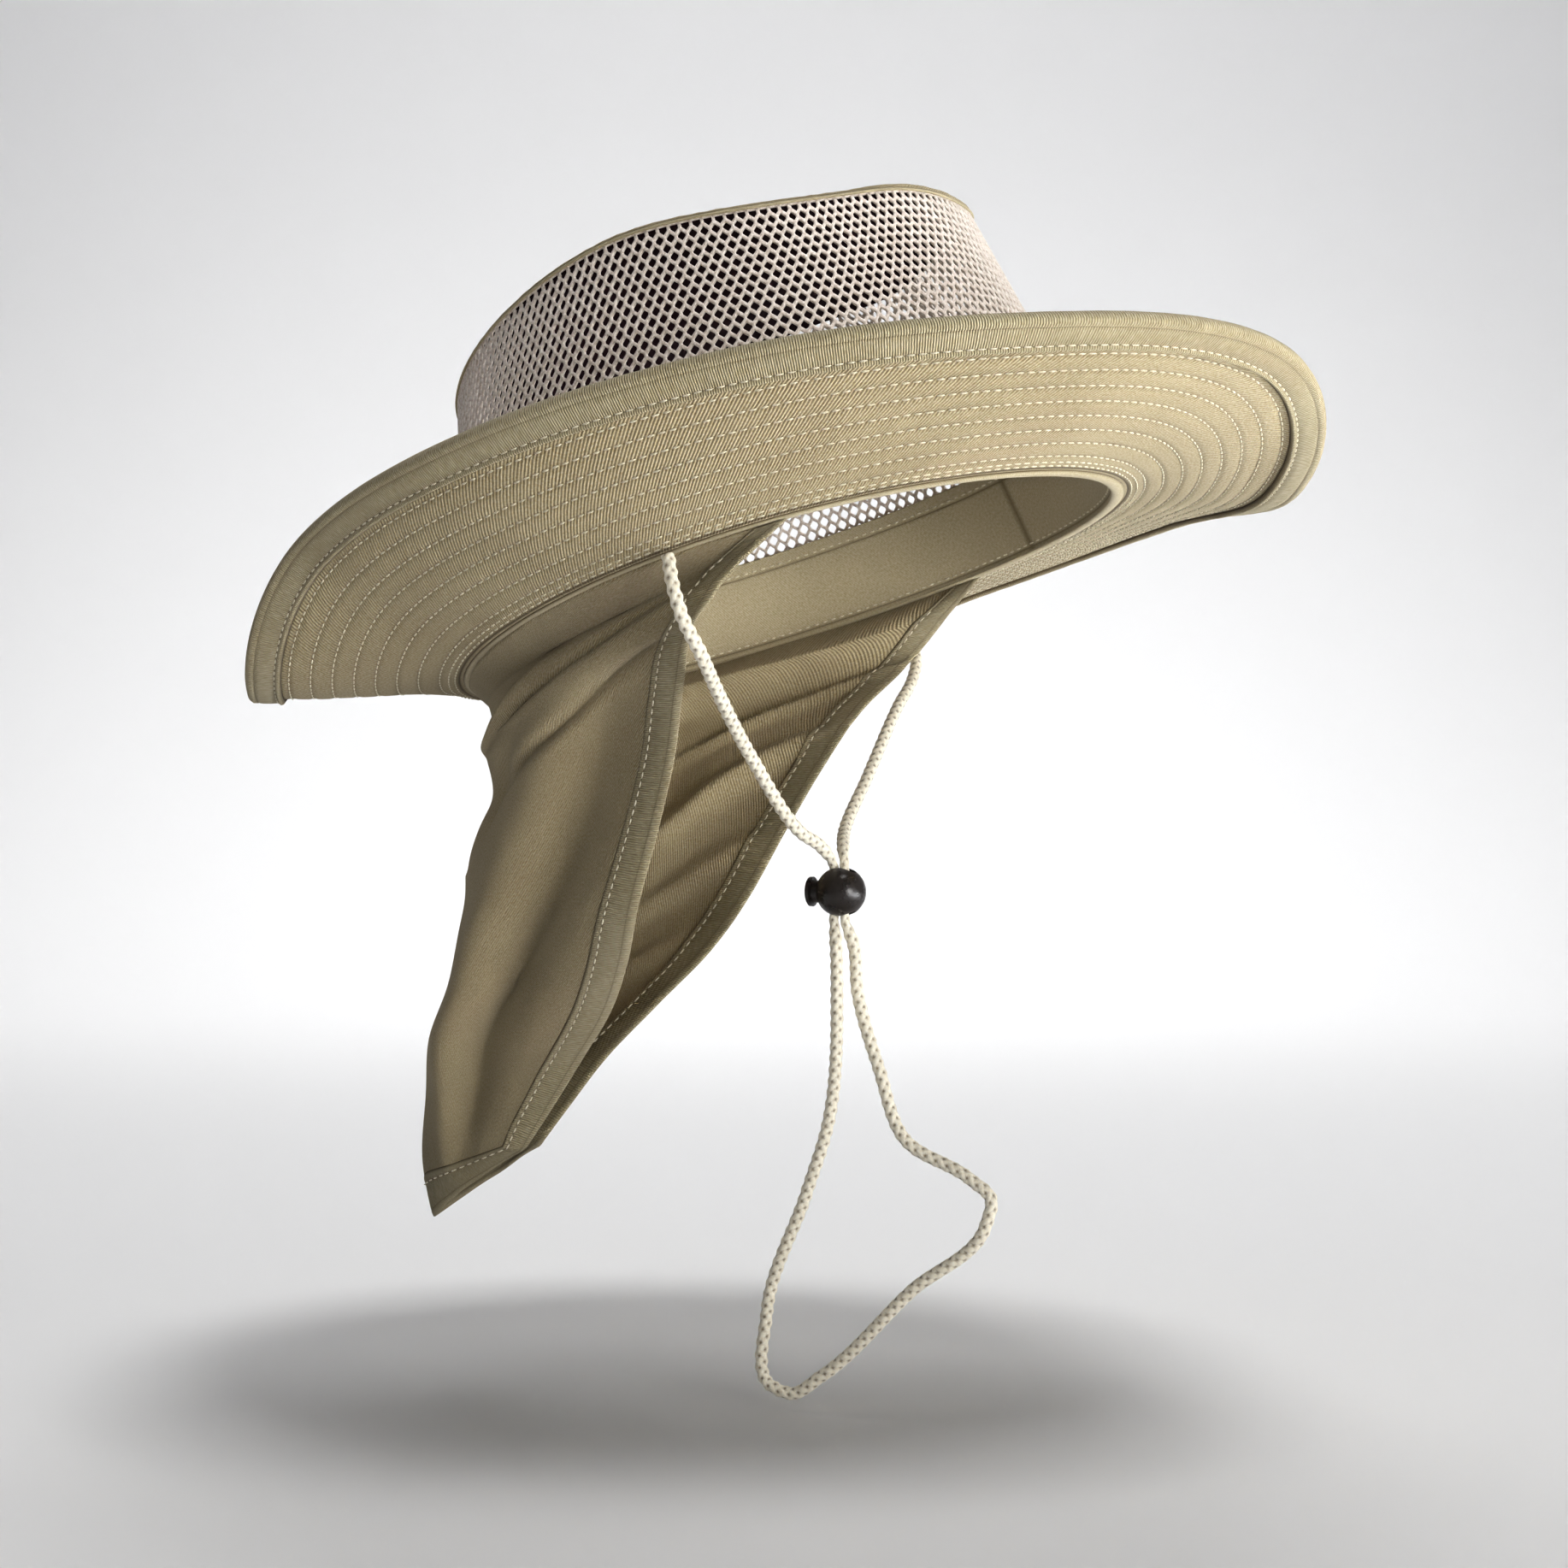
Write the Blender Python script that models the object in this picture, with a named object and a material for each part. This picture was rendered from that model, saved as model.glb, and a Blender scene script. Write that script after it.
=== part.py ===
# Sun hat with a net crown, a stitched brim, a neck flap and a chin cord with a lock
# Metres, +Z up, front of the hat towards -Y, so the wearer's right is towards -X.
# The origin is the centre of the head opening. The hat sits tipped back, so its front is raised.
from math import cos, exp, pi, radians, sin, sqrt, tan

import bmesh
import bpy
from mathutils import Vector

# fit of touching pieces
GAP = 0.0003

# head opening, an oval, and how the hat is tipped on the head
OPENING_LENGTH = 0.200
OPENING_WIDTH = 0.164
OPENING_SADDLE = 0.0016
TIP_BACK = radians(16.3)

# sweatband
SWEATBAND_HEIGHT = 0.027
SWEATBAND_WALL = 0.0012

# crown: net wall and cloth top
CROWN_HEIGHT = 0.100
CROWN_LEAN = radians(12.5)
NET_WALL = 0.0012
NET_STANDOFF = 0.0011
NET_COLUMNS = 24
NET_ROWS = 5
NET_STRAND = 0.0026
NET_BORDER = 0.03
PINCH_DEPTH = 0.0045
PINCH_ANGLE = 42.0
PINCH_SPREAD = 15.0
TOP_WALL = 0.0014
TOP_SEAM = 0.0006
TOP_BAND = 0.0018
TOP_ROUNDING = 0.0016
TOP_CENTRE = 0.92
TOP_DENT_DEPTH = 0.006
TOP_DENT_WIDTH = 0.030
TOP_DENT_LENGTH = 0.062
TOP_STATIONS = 40
WHOLE_PINCH_RISE = 1.2

# brim and its edge tape; the curl is the share of the lift that the brim gains towards its edge
BRIM_WIDTH = 0.065
BRIM_WALL = 0.0024
BRIM_CURL = 0.30
BRIM_FLAT = 1e-6
BRIM_LEDGE = 0.0035
BRIM_STATIONS = 56
BRIM_ROWS = 4
TAPE_WIDTH = 0.0095
TAPE_WALL = 0.0008
TAPE_NOSE = 0.55

# neck flap and its edge tape
FLAP_WALL = 0.0012
FLAP_SEAM = 0.0009
FLAP_HALF_ARC = 110.0
FLAP_SPREAD = 0.084
FLAP_REACH = 0.125
FLAP_DROP = 0.195
FLAP_COLUMNS = 32
FLAP_ROWS = 14
FLAP_TAPE_WIDTH = 0.0090
FLAP_TAPE_WALL = 0.0018
FOLD_FULLNESS = 0.7
SURFACE_STEP = 0.01
LENGTH_STEPS = 12

# chin cord and its lock
CORD_DIAMETER = 0.004
CORD_SQUEEZE = 0.75
CORD_SQUEEZE_REACH = 0.68
CORD_KNOT_SPACING = 2.5
CORD_SIDES = 2
LOCK_BALL_DIAMETER = 0.0148
LOCK_CENTRE = (0.0, -0.0170, -0.0910)
LOCK_SLOT_LENGTH = 0.0096
LOCK_SLOT_WIDTH = 0.0046
LOCK_STRAND_BACK = 0.0022
LOCK_STRAND_FRONT = -0.0011
BALL_SEGMENTS = 20
BALL_RINGS = 12
SLOT_SEGMENTS = 6
SHARP_ANGLE = radians(35)
PLUNGER_DIAMETER = 0.0066
PLUNGER_CLEARANCE = 0.0003
PLUNGER_STROKE = 0.0018
PLUNGER_WINDOW_WIDTH = 0.0038
PLUNGER_END_WALL = 0.0011
FLANGE_DIAMETER = 0.0088
FLANGE_THICKNESS = 0.0015

# crown wall height round the hat: angle from the front, share of CROWN_HEIGHT
CROWN_TABLE = (
    # angle, height
    (0, 0.875),
    (30, 0.90),
    (60, 0.905),
    (90, 0.945),
    (120, 0.89),
    (150, 0.83),
    (180, 0.78),
)

# cloth top from its edge to the centre: share along, how far in towards the centre, and how
# high above the shoulder's start as a share of TOP_ROUNDING
TOP_PROFILE = (
    # share, inward, rise
    (0.00, 0.00, -1.0),
    (0.20, 0.00, 0.0),
    (0.30, 0.02, 0.6),
    (0.40, 0.08, 0.95),
    (0.55, 0.22, 1.0),
    (0.70, 0.42, 0.9),
    (0.85, 0.66, 0.8),
    (1.00, 0.88, 0.7),
)
TOP_SHARES = (0.0, 0.2, 0.3, 0.4, 0.55, 0.7, 0.85, 1.0)

# brim round the hat: angle from the front (minus is the wearer's right),
# width as a share of BRIM_WIDTH, lift in degrees above the opening's plane
BRIM_TABLE = (
    # angle, width, lift
    (-180, 1.10, 38),
    (-157, 1.03, 10.5),
    (-130, 0.99, 35),
    (-100, 0.96, 37),
    (-70, 0.90, 36),
    (-40, 0.93, 24),
    (-10, 1.04, 8),
    (20, 0.86, -14),
    (50, 0.90, 1),
    (80, 0.92, 6),
    (110, 0.95, 6),
    (145, 1.02, 21),
)

# flap sections from the rim down: edge and back as shares of FLAP_SPREAD, FLAP_REACH and
# FLAP_DROP, belly as shares of FLAP_SPREAD and FLAP_REACH; above the first row the cloth runs
# straight up to the rim
FLAP_TABLE = (
    # down, edge_side, edge_back, edge_drop, back_back, back_drop, belly, belly_back
    (0.08, 0.99, -0.176, 0.008, 0.760, 0.187, 0.68, 0.74),
    (0.16, 0.99, -0.072, 0.085, 0.727, 0.225, 0.71, 0.72),
    (0.25, 0.80, 0.020, 0.172, 0.718, 0.262, 0.71, 0.72),
    (0.35, 0.65, 0.088, 0.267, 0.783, 0.338, 0.63, 0.74),
    (0.45, 0.55, 0.160, 0.370, 0.809, 0.431, 0.55, 0.79),
    (0.55, 0.46, 0.240, 0.482, 0.863, 0.523, 0.50, 0.83),
    (0.65, 0.33, 0.312, 0.569, 0.909, 0.615, 0.44, 0.86),
    (0.75, 0.18, 0.408, 0.651, 0.976, 0.708, 0.37, 0.90),
    (0.85, 0.10, 0.512, 0.728, 0.992, 0.805, 0.23, 0.91),
    (0.93, 0.07, 0.608, 0.810, 1.000, 0.903, 0.15, 0.90),
    (1.00, 0.055, 0.688, 0.877, 0.968, 0.997, 0.10, 0.87),
)

# soft folds of the flap: where the fold starts and ends (across is 0 at the back and 1 at the
# front edge, down is 0 at the rim and 1 at the hem), its height and its half width across
FLAP_FOLDS = (
    # across_0, down_0, across_1, down_1, height, width
    (0.80, 0.20, 0.30, 0.92, 0.0060, 0.10),
    (0.76, 0.16, 0.34, 0.36, 0.0035, 0.06),
    (0.66, 0.10, 0.12, 0.26, -0.0035, 0.07),
    (0.55, 0.05, 0.20, 0.45, 0.0030, 0.07),
)

# chin cord: exit on the wearer's right, lock, hanging loop, lock, exit on the left
CORD_ROUTE = (
    (-0.0890, -0.0035, -0.0005),
    (-0.0905, -0.0055, -0.0080),
    (-0.0890, -0.0075, -0.0165),
    (-0.0810, -0.0090, -0.0255),
    (-0.0680, -0.0075, -0.0340),
    (-0.0400, -0.0065, -0.0535),
    (-0.0165, -0.0110, -0.0735),
    (-0.0050, -0.0135, -0.0785),
    (-0.0003, -0.0147, -0.0832),
    (0.0000, -0.0148, -0.0880),
    (0.0000, -0.0148, -0.0940),
    (-0.0001, -0.0148, -0.0990),
    (-0.0016, -0.0160, -0.1060),
    (-0.0020, -0.0165, -0.1200),
    (-0.0008, -0.0130, -0.1600),
    (0.0000, -0.0060, -0.1800),
    (0.0005, 0.0070, -0.2160),
    (0.0005, 0.0060, -0.2375),
    (0.0005, -0.0010, -0.2395),
    (0.0005, -0.0100, -0.2340),
    (0.0005, -0.0390, -0.2065),
    (0.0005, -0.0615, -0.1865),
    (0.0005, -0.0630, -0.1785),
    (0.0005, -0.0570, -0.1735),
    (0.0005, -0.0365, -0.1625),
    (0.0014, -0.0285, -0.1430),
    (0.0024, -0.0212, -0.1200),
    (0.0020, -0.0203, -0.1070),
    (0.0001, -0.0182, -0.0990),
    (0.0000, -0.0181, -0.0940),
    (0.0000, -0.0181, -0.0880),
    (0.0003, -0.0180, -0.0832),
    (0.0055, -0.0155, -0.0780),
    (0.0150, -0.0120, -0.0735),
    (0.0385, -0.0105, -0.0560),
    (0.0650, -0.0105, -0.0330),
    (0.0800, -0.0100, -0.0230),
    (0.0885, -0.0080, -0.0155),
    (0.0908, -0.0055, -0.0080),
    (0.0893, -0.0035, -0.0010),
)


def clear_scene():
    for item in list(bpy.data.objects):
        bpy.data.objects.remove(item, do_unlink=True)


def material(name, colour, roughness, metallic=0.0):
    finish = bpy.data.materials.new(name)
    finish.use_nodes = True
    shader = finish.node_tree.nodes["Principled BSDF"]
    shader.inputs["Base Color"].default_value = (*colour, 1.0)
    shader.inputs["Roughness"].default_value = roughness
    shader.inputs["Metallic"].default_value = metallic
    return finish


def link(name, data, finish):
    item = bpy.data.objects.new(name, data)
    bpy.context.collection.objects.link(item)
    data.materials.append(finish)
    return item


def grid_object(name, rows, closed, finish, capped=False):
    """Rows of points joined into one sheet; closed joins the last column to the first."""
    shape = bmesh.new()
    grid = [[shape.verts.new(point) for point in row] for row in rows]
    count = len(grid[0])
    last = count if closed else count - 1
    for upper, lower in zip(grid, grid[1:]):
        for i in range(last):
            j = (i + 1) % count
            shape.faces.new((upper[i], upper[j], lower[j], lower[i]))
    if capped:
        pole = shape.verts.new(sum((v.co for v in grid[-1]), Vector()) / count)
        for i in range(count):
            shape.faces.new((grid[-1][i], grid[-1][(i + 1) % count], pole))
    data = bpy.data.meshes.new(name)
    shape.to_mesh(data)
    shape.free()
    data.shade_smooth()
    return link(name, data, finish)


def thicken(item, wall):
    solid = item.modifiers.new("Wall", "SOLIDIFY")
    solid.thickness = wall
    solid.offset = 0.0
    return item


def blend_rows(table, key, closed=False):
    """Smooth values between the rows of a table at a position; closed tables repeat after 360."""
    if closed:
        key = (key + 180.0) % 360.0 - 180.0
    rows = list(table)
    if closed:
        rows = [(rows[-1][0] - 360.0, *rows[-1][1:])] + rows
        rows += [(row[0] + 360.0, *row[1:]) for row in table[:2]]
    index = max(i for i in range(len(rows) - 1) if rows[i][0] <= key or i == 0)
    lower = rows[index]
    upper = rows[index + 1]
    before = rows[max(index - 1, 0)]
    after = rows[min(index + 2, len(rows) - 1)]
    t = (key - lower[0]) / (upper[0] - lower[0])
    values = []
    for a, b, c, d in zip(before[1:], lower[1:], upper[1:], after[1:]):
        values.append(b + 0.5 * t * (c - a + t * (2 * a - 5 * b + 4 * c - d + t * (3 * (b - c) + d - a))))
    return values


def tipped(x, y, z):
    """From the hat's own frame to the part's frame: the front is raised by TIP_BACK."""
    return Vector((x, y * cos(TIP_BACK) + z * sin(TIP_BACK), z * cos(TIP_BACK) - y * sin(TIP_BACK)))


def opening_frame(angle):
    """Point of the head opening and its outward direction, angle 0 at the front."""
    t = radians(angle)
    half_width = OPENING_WIDTH / 2
    half_length = OPENING_LENGTH / 2
    out = Vector((sin(t) / half_width, -cos(t) / half_length, 0.0)).normalized()
    return Vector((half_width * sin(t), -half_length * cos(t), -OPENING_SADDLE * cos(2 * t))), out


def rim_point(angle, offset, height):
    point, out = opening_frame(angle)
    point = point + out * offset
    return tipped(point.x, point.y, point.z + height)


def pinch(angle, height):
    """Inward dent of the crown wall at its front sides, growing towards the top."""
    near = (abs((angle + 180.0) % 360.0 - 180.0) - PINCH_ANGLE) / PINCH_SPREAD
    rise = min(max(height / CROWN_HEIGHT, 0.0), WHOLE_PINCH_RISE)
    return PINCH_DEPTH * exp(-near * near) * rise * rise


def wall_offset(angle, height, start):
    return start - height * tan(CROWN_LEAN) - pinch(angle, height)


def crown_wall_height(angle):
    folded = abs((angle + 180.0) % 360.0 - 180.0)
    return blend_rows(CROWN_TABLE, folded)[0] * CROWN_HEIGHT


NET_START = SWEATBAND_WALL + GAP + NET_STANDOFF + NET_WALL / 2
BRIM_START = SWEATBAND_WALL + GAP
FLAP_START = SWEATBAND_WALL + GAP + FLAP_WALL / 2
NET_BOTTOM = BRIM_WALL / 2 + GAP


def circle_angles(count):
    return [-180.0 + 360.0 * i / count for i in range(count)]


def make_sweatband(finish):
    start = SWEATBAND_WALL / 2
    bottom = -BRIM_WALL / 2
    rows = []
    for height in (SWEATBAND_HEIGHT, bottom):
        row = []
        for angle in circle_angles(BRIM_STATIONS):
            row.append(rim_point(angle, wall_offset(angle, height, start), height))
        rows.append(row)
    return thicken(grid_object("sweatband", rows, True, finish), SWEATBAND_WALL)


def net_point(angle, share):
    top = crown_wall_height(angle) - TOP_SEAM
    height = NET_BOTTOM + share * (top - NET_BOTTOM)
    return rim_point(angle, wall_offset(angle, height, NET_START), height)


def net_line(shape, share, shift):
    step = 360.0 / NET_COLUMNS
    return [shape.verts.new(net_point(-180 + step * (i + shift), share)) for i in range(NET_COLUMNS)]


def make_crown_net(finish):
    """Wall of staggered diamond cells, each cut through, between a whole top and bottom border."""
    shape = bmesh.new()
    last = NET_ROWS + 1
    step = (1 - 2 * NET_BORDER) / last
    lines = [net_line(shape, NET_BORDER + step * line, 0.5 * (line % 2)) for line in range(last + 1)]
    cells = []
    for line in range(1, last):
        for i in range(NET_COLUMNS):
            j = (i + 1) % NET_COLUMNS
            middle = (i + line % 2) % NET_COLUMNS
            corners = (lines[line][i], lines[line - 1][middle], lines[line][j], lines[line + 1][middle])
            cells.append(shape.faces.new(corners))
    add_border(shape, lines[0], lines[1], net_line(shape, 0.0, 0.0), 0)
    add_border(shape, lines[last], lines[last - 1], net_line(shape, 1.0, 0.5 * (last % 2)), last % 2)
    bmesh.ops.recalc_face_normals(shape, faces=shape.faces[:])
    bmesh.ops.inset_individual(shape, faces=cells, thickness=NET_STRAND / 2, use_even_offset=True)
    bmesh.ops.delete(shape, geom=cells, context="FACES")
    data = bpy.data.meshes.new("crown_net")
    shape.to_mesh(data)
    shape.free()
    return thicken(link("crown_net", data, finish), NET_WALL)


def add_border(shape, knots, inner, edge, shift):
    """Half cells beside the outermost line of knots, and the plain strip from it to the edge."""
    for i in range(NET_COLUMNS):
        j = (i + 1) % NET_COLUMNS
        shape.faces.new((knots[i], knots[j], inner[(i + shift) % NET_COLUMNS]))
        shape.faces.new((knots[i], edge[i], edge[j], knots[j]))


def top_point(angle, share):
    """Cloth top from its lower edge (0) over the rounded shoulder to near the centre (1)."""
    base = crown_wall_height(angle)
    edge = wall_offset(angle, base + TOP_BAND, NET_START)
    if share <= TOP_PROFILE[1][0]:
        height = base + TOP_BAND * share / TOP_PROFILE[1][0]
        return rim_point(angle, wall_offset(angle, height, NET_START), height)
    inward, rise = blend_rows(TOP_PROFILE, share)
    rim, out = opening_frame(angle)
    rim = rim + out * edge
    flat = Vector((rim.x, rim.y, 0.0)) * (1 - inward)
    level = (1 - inward) * base + inward * CROWN_HEIGHT * TOP_CENTRE
    height = level + TOP_BAND + rise * TOP_ROUNDING - centre_dent(flat)
    return tipped(flat.x, flat.y, height)


def centre_dent(flat):
    across = flat.x / TOP_DENT_WIDTH
    along = flat.y / TOP_DENT_LENGTH
    return TOP_DENT_DEPTH * exp(-across * across - along * along)


def make_crown_top(finish):
    rows = [[top_point(angle, share) for angle in circle_angles(TOP_STATIONS)] for share in TOP_SHARES]
    return thicken(grid_object("crown_top", rows, True, finish, capped=True), TOP_WALL)


def brim_row(angle):
    width, lift = blend_rows(BRIM_TABLE, angle, closed=True)
    return width * BRIM_WIDTH - BRIM_START - BRIM_LEDGE, radians(lift)


def brim_point(angle, share, off=0.0, beyond=0.0):
    """Point of the brim: share runs from the ledge to the edge, off is along the surface's normal."""
    length, lift = brim_row(angle)
    start = lift * (1 - BRIM_CURL)
    turn = 2 * lift * BRIM_CURL
    slope = start + turn * share
    if abs(turn) > BRIM_FLAT:
        offset = length * (sin(slope) - sin(start)) / turn
        height = length * (cos(start) - cos(slope)) / turn
    else:
        offset = length * share
        height = 0.0
    offset += BRIM_START + BRIM_LEDGE + beyond * cos(slope) - off * sin(slope)
    height += beyond * sin(slope) + off * cos(slope)
    return rim_point(angle, offset, height)


def tape_share(angle):
    return 1 - TAPE_WIDTH / brim_row(angle)[0]


def ring_solid(name, rings, finish):
    """Closed sections one after another round the hat, joined into one ring."""
    shape = bmesh.new()
    sections = [[shape.verts.new(point) for point in ring] for ring in rings]
    count = len(sections[0])
    for a, b in zip(sections, sections[1:] + sections[:1]):
        for i in range(count):
            j = (i + 1) % count
            shape.faces.new((a[i], a[j], b[j], b[i]))
    bmesh.ops.recalc_face_normals(shape, faces=shape.faces[:])
    data = bpy.data.meshes.new(name)
    shape.to_mesh(data)
    shape.free()
    data.shade_smooth()
    return link(name, data, finish)


def make_brim(finish):
    """Flat ledge round the opening, then a wall out to the edge with rows ending where the tape starts."""
    half = BRIM_WALL / 2
    rings = []
    for angle in circle_angles(BRIM_STATIONS):
        shares = [tape_share(angle) * part / (BRIM_ROWS - 1) for part in range(BRIM_ROWS)]
        shares.append(1.0)
        ring = [rim_point(angle, BRIM_START, -half)]
        ring += [brim_point(angle, share, -half) for share in shares]
        ring += [brim_point(angle, share, half) for share in reversed(shares)]
        ring.append(rim_point(angle, BRIM_START, half))
        rings.append(ring)
    return ring_solid("brim", rings, finish)


def make_brim_tape(finish):
    """Tape folded over the brim's edge, a U in section."""
    inner = BRIM_WALL / 2 + GAP
    outer = inner + TAPE_WALL
    rings = []
    for angle in circle_angles(BRIM_STATIONS):
        leg = tape_share(angle)
        section = (
            (leg, outer, 0.0),
            (1.0, outer, 0.0),
            (1.0, TAPE_NOSE * outer, TAPE_WALL),
            (1.0, -TAPE_NOSE * outer, TAPE_WALL),
            (1.0, -outer, 0.0),
            (leg, -outer, 0.0),
            (leg, -inner, 0.0),
            (1.0, -inner, GAP),
            (1.0, inner, GAP),
            (leg, inner, 0.0),
        )
        rings.append([brim_point(angle, *spot) for spot in section])
    return ring_solid("brim_tape", rings, finish)


def flap_base(across, down):
    """Hanging cloth without its folds: a bow from the back to each front edge at every height."""
    rim = rim_point(180.0 - FLAP_HALF_ARC * across, FLAP_START, -BRIM_WALL / 2 - FLAP_SEAM)
    first = FLAP_TABLE[0][0]
    row = blend_rows(FLAP_TABLE, max(down, first))
    side = 1.0 if across >= 0 else -1.0
    t = abs(across)
    back = Vector((0.0, row[3] * FLAP_REACH, -row[4] * FLAP_DROP))
    edge = Vector((side * row[0] * FLAP_SPREAD, row[1] * FLAP_REACH, -row[2] * FLAP_DROP))
    belly = Vector((side * row[5] * FLAP_SPREAD, row[6] * FLAP_REACH, 0.0))
    slope = tan(TIP_BACK)
    back.z += slope * back.y
    edge.z += slope * edge.y
    belly.z = (back.z + edge.z) / 2
    bow = back * (1 - t) ** 2 + belly * 2 * t * (1 - t) + edge * t * t
    bow.z -= slope * bow.y
    if down >= first:
        return bow
    return rim.lerp(bow, down / first)


def fold_height(across, down):
    total = 0.0
    for start_across, start_down, end_across, end_down, height, width in FLAP_FOLDS:
        t = (down - start_down) / (end_down - start_down)
        if 0.0 < t < 1.0:
            line = start_across + (end_across - start_across) * t
            near = (abs(across) - line) / width
            total += height * exp(-near * near) * sin(pi * t) ** FOLD_FULLNESS
    return total


def flap_point(across, down):
    along = flap_base(min(across + SURFACE_STEP, 1.0), down)
    along = along - flap_base(max(across - SURFACE_STEP, -1.0), down)
    fall = flap_base(across, min(down + SURFACE_STEP, 1.0))
    fall = fall - flap_base(across, max(down - SURFACE_STEP, 0.0))
    outward = fall.cross(along).normalized()
    return flap_base(across, down) + outward * fold_height(across, down)


def path_length(points):
    return sum((b - a).length for a, b in zip(points, points[1:]))


def across_share(down, inset):
    """How far across the cloth reaches when its front edge is drawn in by inset."""
    points = [flap_base(i / LENGTH_STEPS, down) for i in range(LENGTH_STEPS + 1)]
    return 1 - inset / path_length(points)


def down_share(across, inset):
    points = [flap_base(across, i / LENGTH_STEPS) for i in range(LENGTH_STEPS + 1)]
    return 1 - inset / path_length(points)


def flap_spot(across, down, inset):
    """Cloth position with the front edges and the hem drawn in by inset."""
    return flap_point(across * across_share(down, inset), down * down_share(across, inset))


def flap_columns():
    return [-1 + 2 * i / FLAP_COLUMNS for i in range(FLAP_COLUMNS + 1)]


def flap_rows():
    return [i / FLAP_ROWS for i in range(FLAP_ROWS + 1)]


def make_flap(finish):
    inset = FLAP_TAPE_WIDTH + 4 * GAP
    rows = [[flap_spot(across, down, inset) for across in flap_columns()] for down in flap_rows()]
    return thicken(grid_object("flap", rows, False, finish), FLAP_WALL)


def make_flap_tape(finish):
    """Edge tape down one front edge, along the hem and up the other front edge."""
    route = [(-1.0, down) for down in flap_rows()]
    route += [(across, 1.0) for across in flap_columns()[1:-1]]
    route += [(1.0, down) for down in reversed(flap_rows())]
    outer = [flap_point(across, down) for across, down in route]
    inner = [flap_spot(across, down, FLAP_TAPE_WIDTH) for across, down in route]
    return thicken(grid_object("flap_tape", [outer, inner], False, finish), FLAP_TAPE_WALL)


def route_slopes(points, gaps):
    """Direction of the curve at each point, leaning to the nearer neighbour."""
    slopes = [(points[1] - points[0]) / gaps[0]]
    for i in range(1, len(points) - 1):
        arriving = (points[i] - points[i - 1]) / gaps[i - 1]
        leaving = (points[i + 1] - points[i]) / gaps[i]
        share = gaps[i - 1] / (gaps[i - 1] + gaps[i])
        slopes.append(arriving * (1 - share) + leaving * share)
    slopes.append((points[-1] - points[-2]) / gaps[-1])
    return slopes


def smooth_route(route, spacing):
    """Points of a smooth curve through the route, about spacing apart."""
    points = [Vector(point) for point in route]
    gaps = [(b - a).length for a, b in zip(points, points[1:])]
    slopes = route_slopes(points, gaps)
    smooth = []
    for i, gap in enumerate(gaps):
        pieces = max(1, round(gap / spacing))
        for k in range(pieces):
            t = k / pieces
            from_start = points[i] * (1 + t * t * (2 * t - 3)) + slopes[i] * gap * t * (1 - t) ** 2
            to_end = points[i + 1] * t * t * (3 - 2 * t) - slopes[i + 1] * gap * t * t * (1 - t)
            smooth.append(from_start + to_end)
    smooth.append(points[-1])
    return smooth


def make_chin_cord(finish):
    data = bpy.data.curves.new("chin_cord", "CURVE")
    data.dimensions = "3D"
    data.bevel_depth = CORD_DIAMETER / 2
    data.bevel_resolution = CORD_SIDES
    data.use_fill_caps = True
    data.resolution_u = 1
    points = smooth_route(CORD_ROUTE, CORD_KNOT_SPACING * CORD_DIAMETER)
    spline = data.splines.new("POLY")
    spline.points.add(len(points) - 1)
    centre = Vector(LOCK_CENTRE)
    reach = LOCK_BALL_DIAMETER * CORD_SQUEEZE_REACH
    for knot, point in zip(spline.points, points):
        knot.co = (*point, 1.0)
        knot.radius = CORD_SQUEEZE if (point - centre).length < reach else 1.0
    return link("chin_cord", data, finish)


def turned(name, profile, segments, finish):
    """Solid turned about Y from a list of (y, radius) pairs, closed flat at both ends."""
    shape = bmesh.new()
    rings = []
    for y, radius in profile:
        ring = []
        for i in range(segments):
            t = 2 * pi * i / segments
            ring.append(shape.verts.new((radius * cos(t), y, radius * sin(t))))
        rings.append(ring)
    for a, b in zip(rings, rings[1:]):
        for i in range(segments):
            j = (i + 1) % segments
            shape.faces.new((a[i], a[j], b[j], b[i]))
    shape.faces.new(rings[0])
    shape.faces.new(rings[-1])
    bmesh.ops.recalc_face_normals(shape, faces=shape.faces[:])
    data = bpy.data.meshes.new(name)
    shape.to_mesh(data)
    shape.free()
    data.shade_smooth()
    data.set_sharp_from_angle(angle=SHARP_ANGLE)
    item = link(name, data, finish)
    item.location = LOCK_CENTRE
    return item


def slot_cutter(name, width, start, end, finish):
    """Upright slot with round ends, from start to end along Y, right through the ball."""
    shape = bmesh.new()
    radius = width / 2
    depth = 2 * LOCK_BALL_DIAMETER
    outline = []
    for centre, base in ((end - radius, 0.0), (start + radius, pi)):
        for i in range(SLOT_SEGMENTS + 1):
            t = base + pi * i / SLOT_SEGMENTS
            outline.append(shape.verts.new((radius * cos(t), centre + radius * sin(t), -depth / 2)))
    floor = shape.faces.new(outline)
    top = bmesh.ops.extrude_face_region(shape, geom=[floor])
    lifted = [v for v in top["geom"] if isinstance(v, bmesh.types.BMVert)]
    bmesh.ops.translate(shape, verts=lifted, vec=(0, 0, depth))
    bmesh.ops.recalc_face_normals(shape, faces=shape.faces[:])
    data = bpy.data.meshes.new(name)
    shape.to_mesh(data)
    shape.free()
    item = link(name, data, finish)
    item.location = LOCK_CENTRE
    return hide_cutter(item)


def hide_cutter(item):
    item.hide_render = True
    item.display_type = "WIRE"
    return item


def cut(item, cutter):
    hole = item.modifiers.new(cutter.name, "BOOLEAN")
    hole.operation = "DIFFERENCE"
    hole.object = cutter


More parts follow.
